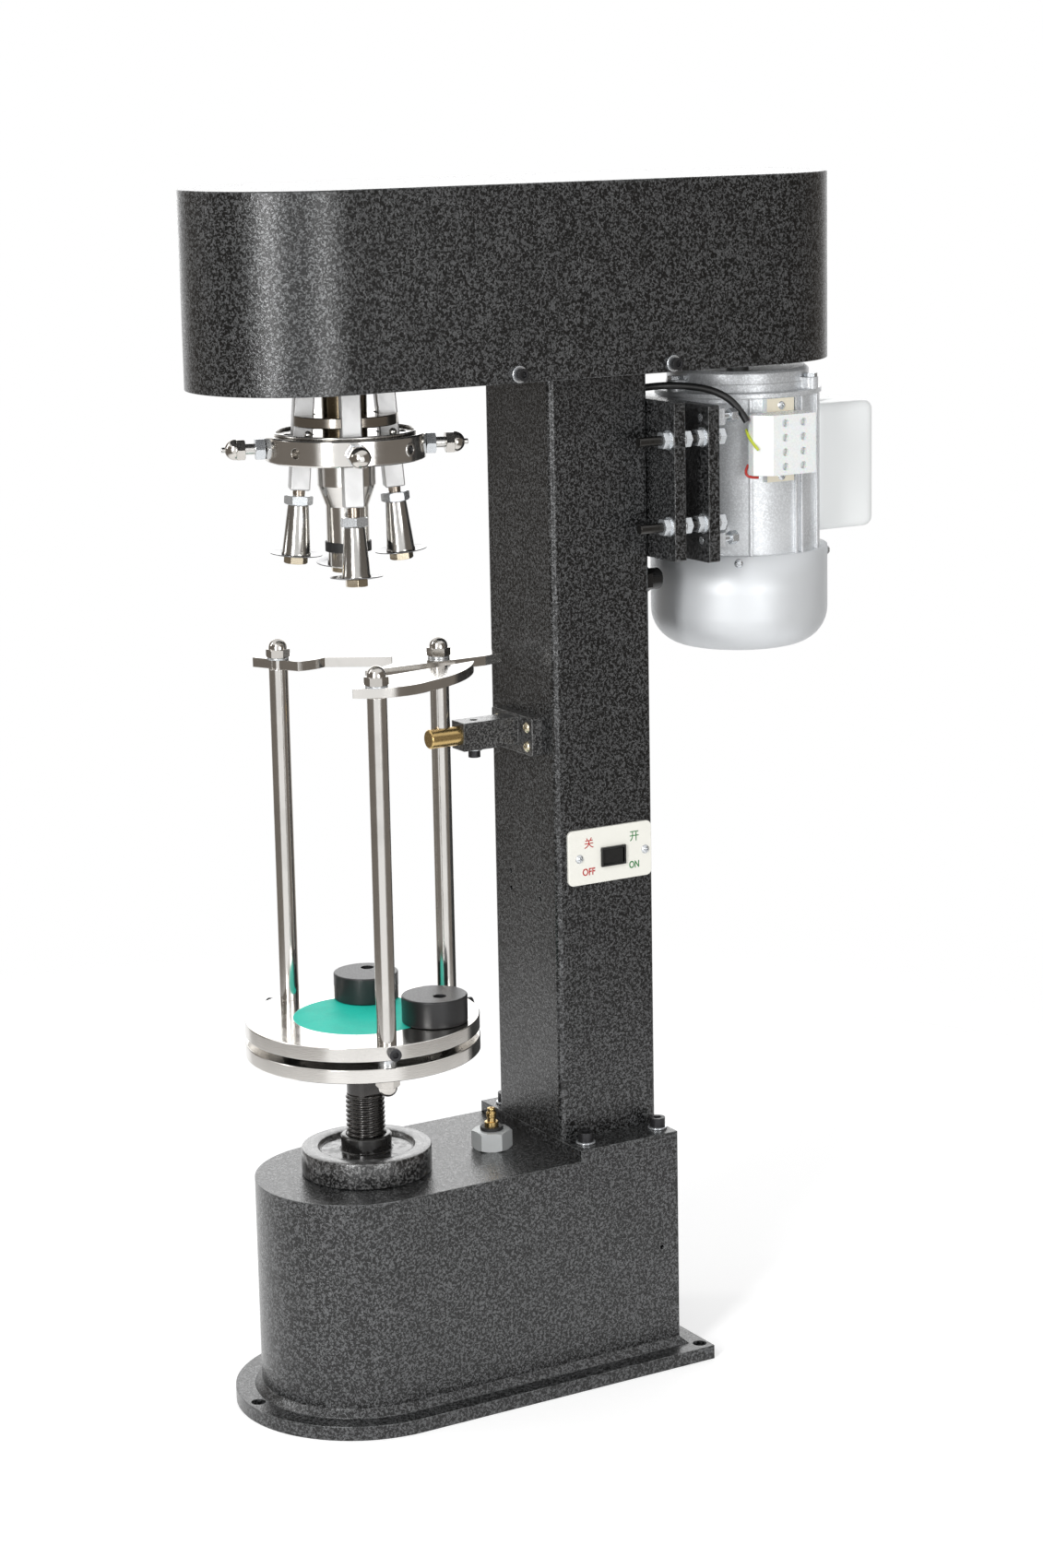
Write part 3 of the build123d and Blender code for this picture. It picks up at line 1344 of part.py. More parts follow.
# Hexagon bolts of the end shield and of the motor feet
with BuildPart() as motor_bolts:
    for angle in lug_angles:
        turn = radians(angle)
        place = (lug_reach * cos(turn), motor_y + lug_reach * sin(turn), lug_z[1])
        prism(Plane(origin=place), 2 * m6_head, m5_head_h + disc_edge)
    for x in (foot_bolt_x, -foot_bolt_x):
        for z in foot_bolt_z:
            slope = (foot_web_y - motor_plate_back - foot_t) / (foot_half - foot_web_half)
            reach = foot_t + slope * (foot_half - foot_bolt_x + m6_head)
            with Locations(Plane(origin=(x, motor_plate_y, z), z_dir=(0, 1, 0))):
                Cylinder(m6_shank, plate_t + reach, align=stand)
            prism(Plane(origin=(x, motor_plate_back + reach, z), z_dir=(0, 1, 0)), 2 * m6_head, m6_head_h)
motor_bolts.part.label = "motor_bolts"
export_step(motor_bolts.part, "parts/motor_bolts.step")

# Fan cowl, a thin cup with rounded floor and rings of air holes
with BuildPart() as fan_cowl:
    with Locations((0, motor_y, cowl_z)):
        Cylinder(cowl_r, motor_z[0] - cowl_z, align=stand)
    fillet(fan_cowl.faces().sort_by(Axis.Z)[0].edges(), cowl_round)
    offset(amount=-cowl_wall, openings=fan_cowl.faces().sort_by(Axis.Z)[-1])
    for ring in cowl_hole_rings:
        with BuildSketch(Plane.XY.offset(cowl_z)):
            with Locations((0, motor_y)):
                with PolarLocations(ring, int(2 * pi * ring / (4 * cowl_hole_r))):
                    Circle(cowl_hole_r)
        extrude(amount=cowl_wall, mode=Mode.SUBTRACT)
    for angle in cowl_screw_angles:
        bore(motor_outward(angle, cowl_r, motor_z[0] - cowl_screw_drop), m4_shank, 2 * cowl_wall)
fan_cowl.part.label = "fan_cowl"
export_step(fan_cowl.part, "parts/fan_cowl.step")

# Motor shaft with its rotor and cooling fan
with BuildPart() as motor_shaft:
    with Locations((0, motor_y, shaft_foot_z)):
        Cylinder(shaft_r, hub_top + pulley_lift - shaft_foot_z, align=stand)
    with Locations((0, motor_y, rotor_z[0])):
        Cylinder(rotor_r, rotor_z[1] - rotor_z[0], align=stand)
    with Locations((0, motor_y, shaft_foot_z)):
        Cylinder(fan_hub_r, fan_h, align=stand)
    for blade in range(fan_blades):
        with BuildSketch(Plane.XY.offset(shaft_foot_z)):
            with Locations(Location((0, motor_y, 0), (0, 0, blade * 360 / fan_blades))):
                with Locations(((fan_r + shaft_r) / 2, 0)):
                    Rectangle(fan_r - shaft_r, fan_blade_t)
        extrude(amount=fan_h)
motor_shaft.part.label = "motor_shaft"
export_step(motor_shaft.part, "parts/motor_shaft.step")

# Terminal block on its saddle, with wire holes in its face
block_mid_y = sum(terminal_y) / 2
with BuildPart() as terminal_block:
    with BuildSketch(Plane.XY.offset(terminal_base_z[0])):
        with Locations((terminal_base_x / 2, sum(terminal_base_y) / 2)):
            Rectangle(terminal_base_x, terminal_base_y[1] - terminal_base_y[0])
    extrude(amount=terminal_base_z[1] - terminal_base_z[0])
    with Locations((0, motor_y, terminal_base_z[0])):
        Cylinder(motor_r, terminal_base_z[1] - terminal_base_z[0], align=stand, mode=Mode.SUBTRACT)
    with BuildSketch(Plane.XY.offset(terminal_z[0])):
        with BuildLine():
            Polyline(
                (terminal_base_x, terminal_y[0] + terminal_bevel),
                (terminal_base_x + terminal_bevel / 2, terminal_y[0]),
                (terminal_x - terminal_bevel, terminal_y[0]),
                (terminal_x, terminal_y[0] + terminal_bevel),
                (terminal_x, terminal_y[1]),
                (terminal_base_x, terminal_y[1]),
                close=True,
            )
        make_face()
    extrude(amount=terminal_z[1] - terminal_z[0])
    with BuildSketch(facing_right(terminal_x)):
        with Locations((block_mid_y + terminal_bevel / 2, sum(terminal_z) / 2)):
            with GridLocations(terminal_bevel * 1.5, terminal_bevel, 2, 4):
                Circle(terminal_hole_r)
    extrude(amount=-terminal_hole_deep, mode=Mode.SUBTRACT)
    for z in terminal_screw_z:
        seat = Plane(origin=(terminal_base_x, terminal_screw_y, z), z_dir=(1, 0, 0))
        bore(seat, m4_shank, m4_shank)
terminal_block.part.label = "terminal_block"
export_step(terminal_block.part, "parts/terminal_block.step")

# Capacitor box on the rear of the motor, with a screw tab above and below
tab_face_y = motor_y + motor_r + box_tab_t
with BuildPart() as capacitor_box:
    box_front = motor_y + motor_r - box_round
    with BuildSketch(Plane.XY.offset(box_z[0])):
        with Locations((0, (box_front + box_rear) / 2)):
            RectangleRounded(2 * box_half, box_rear - box_front, box_round)
    extrude(amount=box_z[1] - box_z[0])
    fillet(capacitor_box.faces().sort_by(Axis.Z)[-1].edges(), washer_t)
    with BuildSketch(Plane.XY.offset(box_z[0] - box_tab_h)):
        with Locations((0, motor_y + motor_r - box_tab_t)):
            Rectangle(2 * box_tab_half, 4 * box_tab_t)
    extrude(amount=box_z[1] - box_z[0] + 2 * box_tab_h)
    with Locations((0, motor_y, box_z[0] - box_tab_h)):
        Cylinder(motor_r, box_z[1] - box_z[0] + 2 * box_tab_h, align=stand, mode=Mode.SUBTRACT)
    for z in (box_z[0] - box_tab_h / 2, box_z[1] + box_tab_h / 2):
        bore(Plane(origin=(0, tab_face_y, z), z_dir=(0, 1, 0)), m4_shank, box_tab_t)
capacitor_box.part.label = "capacitor_box"
export_step(capacitor_box.part, "parts/capacitor_box.step")

# Cross-head screws of the switch plate, the cowl, the terminal block and the capacitor box
with BuildPart() as pan_screws:
    for y in switch_screw_y:
        seat = Plane(origin=(column_half + switch_t, y, switch_screw_z), x_dir=(0, 1, 0), z_dir=(1, 0, 0))
        pan_screw(seat, m4_shank, m4_head, m4_head_h, switch_t + column_wall)
    for angle in cowl_screw_angles:
        seat = motor_outward(angle, cowl_r, motor_z[0] - cowl_screw_drop)
        pan_screw(seat, m4_shank, m4_head, m4_head_h, cowl_wall)
    for z in terminal_screw_z:
        seat = Plane(origin=(terminal_base_x, terminal_screw_y, z), x_dir=(0, 1, 0), z_dir=(1, 0, 0))
        pan_screw(seat, m4_shank, m4_head, m4_head_h, m4_shank)
    for z in (box_z[0] - box_tab_h / 2, box_z[1] + box_tab_h / 2):
        seat = Plane(origin=(0, tab_face_y, z), x_dir=(1, 0, 0), z_dir=(0, 1, 0))
        pan_screw(seat, m4_shank, m4_head, m4_head_h, box_tab_t)
pan_screws.part.label = "pan_screws"
export_step(pan_screws.part, "parts/pan_screws.step")

# Cable from the column to the terminal block
cable_points = [Vector(*point) for point in cable_route]
cable_radii = []
for before, here, after in zip(cable_points, cable_points[1:], cable_points[2:]):
    turn = (here - before).get_angle(after - here)
    shorter = min((here - before).length, (after - here).length)
    cable_radii.append(cable_bend_share * shorter / tan(radians(turn) / 2))
print("cable bend radii", [round(radius, 1) for radius in cable_radii])
with BuildPart() as motor_cable:
    with BuildLine() as cable_line:
        FilletPolyline(*cable_points, radius=cable_radii)
    with BuildSketch(Plane(origin=cable_points[0], z_dir=cable_points[1] - cable_points[0])):
        Circle(cable_r)
    sweep(path=cable_line.wire())
motor_cable.part.label = "motor_cable"
export_step(motor_cable.part, "parts/motor_cable.step")

# Gland in the column rear, with an open bore
with BuildPart() as cable_gland:
    seat = Plane(origin=(gland_x, column_rear, gland_z), z_dir=(0, 1, 0))
    prism(seat, gland_nut_across, gland_nut_h)
    with Locations(seat):
        Cylinder(gland_thread_r, column_wall, align=hang)
    with Locations(seat.offset(gland_nut_h)):
        Cylinder(gland_r - plunger_edge, gland_dome_h, align=stand)
    fillet(cable_gland.faces().sort_by(Axis.Y)[-1].edges(), gland_r / 4)
    bore(seat.offset(gland_nut_h + gland_dome_h), gland_bore_r, gland_nut_h + gland_dome_h + column_wall)
cable_gland.part.label = "cable_gland"
export_step(cable_gland.part, "parts/cable_gland.step")
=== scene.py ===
"""Looks of the bench capping machine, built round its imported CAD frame.

The frame is that of the CAD model: +Z up, with the origin on the spindle axis under the base plate.
Shapes are given in millimetres and made in metres. Nodes and properties hold metres.
"""
from math import atan2, cos, pi, radians, sin

import bmesh
import bpy
from mathutils import Matrix, Vector


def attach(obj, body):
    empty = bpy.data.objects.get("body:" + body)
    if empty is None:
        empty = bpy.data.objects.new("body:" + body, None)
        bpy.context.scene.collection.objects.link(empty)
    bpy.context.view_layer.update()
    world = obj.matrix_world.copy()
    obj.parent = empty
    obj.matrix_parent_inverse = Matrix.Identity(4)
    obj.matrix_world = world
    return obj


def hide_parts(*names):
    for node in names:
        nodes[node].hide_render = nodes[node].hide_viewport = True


bl_info = {
    "name": "Capping machine looks",
    "version": (1, 0, 0),
    "blender": (4, 5, 0),
    "location": "3D View > Sidebar > Capping Machine",
    "description": "Finishes and fine pieces of a bench capping machine",
    "category": "Object",
}

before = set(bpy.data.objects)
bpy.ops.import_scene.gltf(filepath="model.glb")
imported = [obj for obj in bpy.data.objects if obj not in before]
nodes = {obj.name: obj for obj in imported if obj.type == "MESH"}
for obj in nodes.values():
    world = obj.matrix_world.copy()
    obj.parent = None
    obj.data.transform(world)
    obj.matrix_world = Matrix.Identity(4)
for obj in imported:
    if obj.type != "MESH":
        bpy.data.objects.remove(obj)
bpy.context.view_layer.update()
mm = 0.001
upward, downward = (0, 0, 1), (0, 0, -1)

# Camera of the photograph: angles, place, lens and shift, and the plan angle that it stands at
view_azimuth = radians(58.282)
view_elevation = radians(11.664)
view_roll = radians(-0.837)
view_place = (2.37619, -1.22760, 1.09855)
view_lens = 77.215
view_shift = (-0.0551, -0.0236)
view_plan = atan2(view_place[1], view_place[0])

# Arms of the head: plan angle, drops of the saucer disc and the bar's foot below the pivot, lean,
# and the pivot's reach and height
arm_angles = {"right": -20, "rear": 70, "left": 160, "front": 250}
saucer_drop = {"right": 93.3, "rear": 79, "left": 93.3, "front": 79}
foot_drop = {"right": 38, "rear": 27, "left": 38, "front": 27}
arm_lean = 4.5
arm_pivot = (36, 789)

# Cable from the column to the terminal block: its route in millimetres
cable_route = (
    (40, 247, 828), (41, 268, 829.5), (51, 289, 829),
    (63, 309, 825), (76, 323, 814.5), (82, 329.6, 799),
)


# Properties that a user may change
def colour(name, description, default):
    """Colour of a finish."""
    return bpy.props.FloatVectorProperty(name=name, description=description, default=default, subtype="COLOR")


def length(name, description, default):
    """Length in metres."""
    return bpy.props.FloatProperty(name=name, description=description, default=default, unit="LENGTH")


def brightness(name, description, default):
    """Power of a lamp in watts, or strength of the room's light."""
    return bpy.props.FloatProperty(name=name, description=description, default=default)


class MachineFinish(bpy.types.PropertyGroup):
    """Colours and grain of the machine's finishes."""

    paint: colour("Paint", "Ground colour of the hammered paint", (0.0032, 0.0033, 0.0034))
    # Light flecks: partly the paint's own pattern, partly painted highlight on the raised cells.
    fleck: colour("Paint flecks", "Colour of the light flecks in the hammered paint", (0.135, 0.138, 0.141))
    fleck_size: length("Fleck size", "Distance between flecks of the hammered paint", 0.0021)
    steel: colour("Steel", "Colour of the polished steel", (0.74, 0.72, 0.69))
    pad: colour("Grip pad", "Colour of the round grip pad", (0.015, 0.72, 0.56))
    brass: colour("Brass", "Colour of the brass pieces", (0.62, 0.44, 0.19))
    nickel: colour("Nickel", "Colour of the domed nuts", (0.62, 0.595, 0.56))
    motor: colour("Motor paint", "Colour of the silver paint on the motor", (0.72, 0.74, 0.76))
    plate: colour("Switch plate", "Colour of the switch plate", (0.90, 0.89, 0.82))
    block: colour("Terminal block", "Colour of the terminal block", (0.84, 0.86, 0.85))
    off_mark: colour("Off mark", "Colour of the off word", (0.5, 0.015, 0.012))
    on_mark: colour("On mark", "Colour of the on word", (0.015, 0.2, 0.045))


class MachineSizes(bpy.types.PropertyGroup):
    """Sizes of the fine pieces."""

    thread_pitch: length("Thread pitch", "Pitch of the lift screw", 0.004)
    thread_depth: length("Thread depth", "Depth of the lift screw's thread", 0.0014)
    letter_height: length("Letter height", "Height of the words on the switch plate", 0.0084)
    wire_r: length("Wire radius", "Radius of the short wires at the terminal block", 0.0012)


class MachineStage(bpy.types.PropertyGroup):
    """Floor and lamps."""

    floor_radius: length("Floor radius", "Radius of the round floor", 1.5)
    key_power: brightness("Key lamp", "Power of the tall lamp on the camera's side, in watts", 46.0)
    side_power: brightness("Side lamp", "Power of the lamp on the far left, in watts", 8.0)
    low_power: brightness("Low lamp", "Power of the lamp that reaches under the cover, in watts", 13.0)
    back_power: brightness("Back lamp", "Power of the wide lamp behind the machine, in watts", 13.0)
    sky: brightness("Room light", "Strength of the even light of the room", 0.57)


# Nodes
def grey(value):
    """Grey colour, or a scale that is the same along each axis."""
    return (value, value, value)


def give(tree, socket, value):
    """Set a socket to a constant, or link another socket to it."""
    if hasattr(value, "is_linked"):
        tree.links.new(value, socket)
    else:
        socket.default_value = value


def add_node(tree, kind, inputs=(), **settings):
    """New shader node with its settings and its inputs, each a constant or another socket."""
    node = tree.nodes.new("ShaderNode" + kind)
    for key, value in settings.items():
        setattr(node, key, value)
    for socket, value in dict(inputs).items():
        give(tree, node.inputs[socket], value)
    return node


def empty_tree(owner):
    """Node tree of a new material or world, with nothing in it."""
    owner.use_nodes = True
    owner.node_tree.nodes.clear()
    return owner.node_tree


def calculate(tree, operation, one, two):
    """Result of a Math node on sockets or numbers."""
    return add_node(tree, "Math", {0: one, 1: two}, operation=operation).outputs[0]


def multiply(tree, value, *others):
    """Product of sockets or numbers."""
    for other in others:
        value = calculate(tree, "MULTIPLY", value, other)
    return value


def spread(tree, source, low, high, to_low, to_high):
    """Value that goes smoothly from to_low to to_high as the source goes from low to high."""
    ends = {0: source, 1: low, 2: high, 3: to_low, 4: to_high}
    return add_node(tree, "MapRange", ends, interpolation_type="SMOOTHSTEP").outputs[0]


def blend_colours(tree, mask, one, two):
    """Mix of two colours, each a constant or a socket."""
    node = add_node(tree, "Mix", data_type="RGBA")
    tree.links.new(mask, node.inputs["Factor"])
    for name, value in (("A", one), ("B", two)):
        socket = [s for s in node.inputs if s.name == name and s.type == "RGBA"][0]
        give(tree, socket, value if hasattr(value, "is_linked") else (*value[:3], 1))
    return [s for s in node.outputs if s.type == "RGBA"][0]


def object_place(tree):
    """Coordinates of a point in its own object."""
    return add_node(tree, "TexCoord").outputs["Object"]


def noise(tree, place, scale, detail, distortion=0):
    """Noise at a place."""
    inputs = {"Vector": place, "Scale": scale, "Detail": detail, "Distortion": distortion}
    return add_node(tree, "TexNoise", inputs).outputs["Fac"]


def background_ray(tree, ray):
    """1 for the rays that see the background: camera, glossy and transmission rays."""
    seen = calculate(tree, "MAXIMUM", ray.outputs["Is Camera Ray"], ray.outputs["Is Glossy Ray"])
    return calculate(tree, "MAXIMUM", seen, ray.outputs["Is Transmission Ray"])


# Node groups that several finishes share
def start_group(name, inputs, *outputs):
    """New shader group with its named sockets. An input is a vector if its default is, and so is a normal."""
    group = bpy.data.node_groups.new(name, "ShaderNodeTree")
    number, vector = "NodeSocketFloat", "NodeSocketVector"
    for label, default in inputs.items():
        kind = vector if isinstance(default, tuple) else number
        group.interface.new_socket(label, in_out="INPUT", socket_type=kind).default_value = default
    for label in outputs:
        kind = vector if label == "Normal" else number
        group.interface.new_socket(label, in_out="OUTPUT", socket_type=kind)
    return group, group.nodes.new("NodeGroupInput"), group.nodes.new("NodeGroupOutput")


def hammered_flecks_and_highlights():
    """Dense small cells with light raised middles: partly the hammered paint's own pattern, partly painted
    highlight on the raised crowns.
    """
    tree, given, made = start_group("Hammered flecks and highlights", {"Size": 0.002, "Unevenness": 0.35}, "Mask", "Height")
    finer, patch_scale, grain_height = 2.7, 38, 0.3
    place = object_place(tree)
    per_metre = calculate(tree, "DIVIDE", 1, given.outputs["Size"])
    cells = noise(tree, place, per_metre, 1.5, 0.9)
    grain = noise(tree, place, multiply(tree, per_metre, finer), 2)
    patches = noise(tree, place, patch_scale, 2)
    # Raised cells are lightest: partly the paint's pattern, partly painted highlight on their crowns.
    raised = spread(tree, cells, 0.475, 0.57, 0, 1)
    speckled = spread(tree, grain, 0.38, 0.58, 0.35, 1)
    thinned = multiply(tree, spread(tree, patches, 0.3, 0.7, 1, 0), given.outputs["Unevenness"])
    kept = calculate(tree, "SUBTRACT", 1, thinned)
    give(tree, made.inputs["Mask"], multiply(tree, raised, speckled, kept))
    give(tree, made.inputs["Height"], calculate(tree, "ADD", cells, multiply(tree, grain, grain_height)))
    return tree


def machining_marks():
    """Fine parallel marks, stretched along the axes that have a small scale."""
    tree, given, made = start_group("Machining marks", {"Scale": grey(900), "Sharpness": 0.2}, "Value", "Height")
    inputs = {0: object_place(tree), 1: given.outputs["Scale"]}
    scaled = add_node(tree, "VectorMath", inputs, operation="MULTIPLY").outputs[0]
    fine = noise(tree, scaled, 1, 4)
    low = multiply(tree, given.outputs["Sharpness"], 0.5)
    high = calculate(tree, "SUBTRACT", 1, low)
    marks = add_node(tree, "MapRange", {0: fine, 1: low, 2: high}).outputs[0]
    give(tree, made.inputs["Value"], marks)
    give(tree, made.inputs["Height"], fine)
    return tree


def handling_stains():
    """Broad soft patches where oil and fingers have dulled a surface."""
    tree, given, made = start_group("Handling stains", {"Size": 0.03, "Amount": 0.5}, "Mask")
    per_metre = calculate(tree, "DIVIDE", 1, given.outputs["Size"])
    patch = spread(tree, noise(tree, object_place(tree), per_metre, 5, 0.6), 0.38, 0.66, 0, 1)
    give(tree, made.inputs["Mask"], multiply(tree, patch, given.outputs["Amount"]))
    return tree


def edge_wear_and_highlight():
    """Rounded normal at each edge, and a mask where that edge is lighter: partly rubbed wear, partly painted
    highlight.
    """
    tree, given, made = start_group("Edge wear and highlight", {"Width": 0.001, "Amount": 1}, "Mask", "Normal")
    edge_break_scale = 130.0
    rounded = add_node(tree, "Bevel", {"Radius": given.outputs["Width"]}, samples=4).outputs[0]
    inputs = {0: rounded, 1: add_node(tree, "NewGeometry").outputs["Normal"]}
    facing = add_node(tree, "VectorMath", inputs, operation="DOT_PRODUCT").outputs["Value"]
    # The edge mask lightens colour along edges: partly worn finish, partly painted highlight.
    edge = spread(tree, facing, 0.8, 0.99, 1, 0)
    broken = spread(tree, noise(tree, object_place(tree), edge_break_scale, 4), 0.35, 0.6, 0.15, 1)
    give(tree, made.inputs["Mask"], multiply(tree, edge, broken, given.outputs["Amount"]))
    give(tree, made.inputs["Normal"], rounded)
    return tree


def group_node(tree, build, **values):
    """The shared group that `build` makes, placed in a tree with its own values."""
    group = bpy.data.node_groups.get(build.__name__.replace("_", " ").capitalize()) or build()
    node = add_node(tree, "Group", node_tree=group)
    for socket, value in values.items():
        node.inputs[socket].default_value = value
    return node


# Kinds of finish
def tone(shade, part, lift=0):
    """A darker or lighter tone of a colour."""
    return [min(1, c * part + lift) for c in shade]


def start_finish(name, **values):
    """New material with its shader, whose constant inputs are set by name."""
    tree = empty_tree(bpy.data.materials.new(name))
    shader = add_node(tree, "BsdfPrincipled", {k.replace("_", " "): v for k, v in values.items()})
    add_node(tree, "OutputMaterial", {0: shader.outputs[0]})
    return tree, shader


def feed(tree, shader, edge, wear_and_highlight, base, worn_and_highlit, rough, height, depth, distance=0.0003):
    """Give a shader its colour with lighter edges (partly rubbed wear, partly painted highlight), its roughness,
    and a bump over the rounded edges.
    """
    edges = group_node(tree, edge_wear_and_highlight, Width=edge, Amount=wear_and_highlight)
    inputs = {"Height": height, "Normal": edges.outputs["Normal"], "Strength": depth, "Distance": distance}
    # Lighter colour along the edges: partly wear, partly painted highlight.
    give(tree, shader.inputs["Base Color"], blend_colours(tree, edges.outputs["Mask"], base, worn_and_highlit))
    give(tree, shader.inputs["Roughness"], rough)
    give(tree, shader.inputs["Normal"], add_node(tree, "Bump", inputs).outputs[0])


def hammered_paint(name, ground, fleck, size, rough=0.3, sheen=0.3, depth=0.65):
    """Thick enamel with light flecks (partly the paint's own pattern, partly painted highlight on raised cells),
    dimples and a gloss coat.
    """
    tree, shader = start_finish(
        name, Coat_Weight=sheen, Coat_Roughness=0.3, Coat_IOR=1.5, Specular_IOR_Level=0.5, Metallic=0.3
    )
    edge, wear_and_highlight, dimple = 0.0014, 0.75, 0.0005
    flecks = group_node(tree, hammered_flecks_and_highlights, Size=size, Unevenness=0.15)
    light = flecks.outputs["Mask"]
    stains = group_node(tree, handling_stains, Size=0.07, Amount=0.5).outputs["Mask"]
    spotted = blend_colours(tree, light, blend_colours(tree, stains, ground, tone(ground, 0.62)), fleck)
    coarse = spread(tree, light, 0, 1, rough, rough * 0.7)
    # Edges take a lighter fleck colour: partly worn paint, partly painted highlight.
    feed(tree, shader, edge, wear_and_highlight, spotted, tone(fleck, 1.7), coarse, flecks.outputs["Height"], depth, dimple)


def metal(name, base, rough, marks=grey(900), stain=0.3, stain_size=0.03, edge=0.0005,
          metallic=1, depth=0.06, dark=0.72, bright=1.12, coat=0):
    """Bare or plated metal with marks, stains and a rounded edge. Rough is (low, high). Bright lightens the edges:
    partly worn metal, partly painted highlight.
    """
    tree, shader = start_finish(name, Metallic=metallic, Coat_Weight=coat, Coat_Roughness=0.1)
    wear_and_highlight, marks_share, stains_share = 0.5, 0.55, 0.45
    lines = group_node(tree, machining_marks, Scale=marks, Sharpness=0.55)
    stains = group_node(tree, handling_stains, Size=stain_size, Amount=stain).outputs["Mask"]
    stained = blend_colours(tree, stains, base, tone(base, dark))
    uneven = multiply(tree, lines.outputs["Value"], marks_share)
    whole = calculate(tree, "ADD", uneven, multiply(tree, stains, stains_share))
    coarse = spread(tree, whole, 0.1, 0.9, *rough)
    # Edges lightened by bright: partly worn metal, partly painted highlight.
    feed(tree, shader, edge, wear_and_highlight, stained, tone(base, bright), coarse, lines.outputs["Height"], depth)


def moulded(name, base, rough, grain=1400, depth=0.05, stain=0.15, edge=0.0005, dark=0.86, **values):
    """Plastic, rubber or smooth paint with a fine grain and slight patches."""
    tree, shader = start_finish(name, **values)
    wear_and_highlight = 0.35
    lines = group_node(tree, machining_marks, Scale=grey(grain), Sharpness=0.3)
    stains = group_node(tree, handling_stains, Size=0.02, Amount=stain).outputs["Mask"]
    stained = blend_colours(tree, stains, base, tone(base, dark))
    coarse = spread(tree, lines.outputs["Value"], 0.1, 0.9, *rough)
    # Lighter edges: partly wear, partly painted highlight.
    feed(tree, shader, edge, wear_and_highlight, stained, tone(base, 1.15, 0.01), coarse, lines.outputs["Height"], depth)


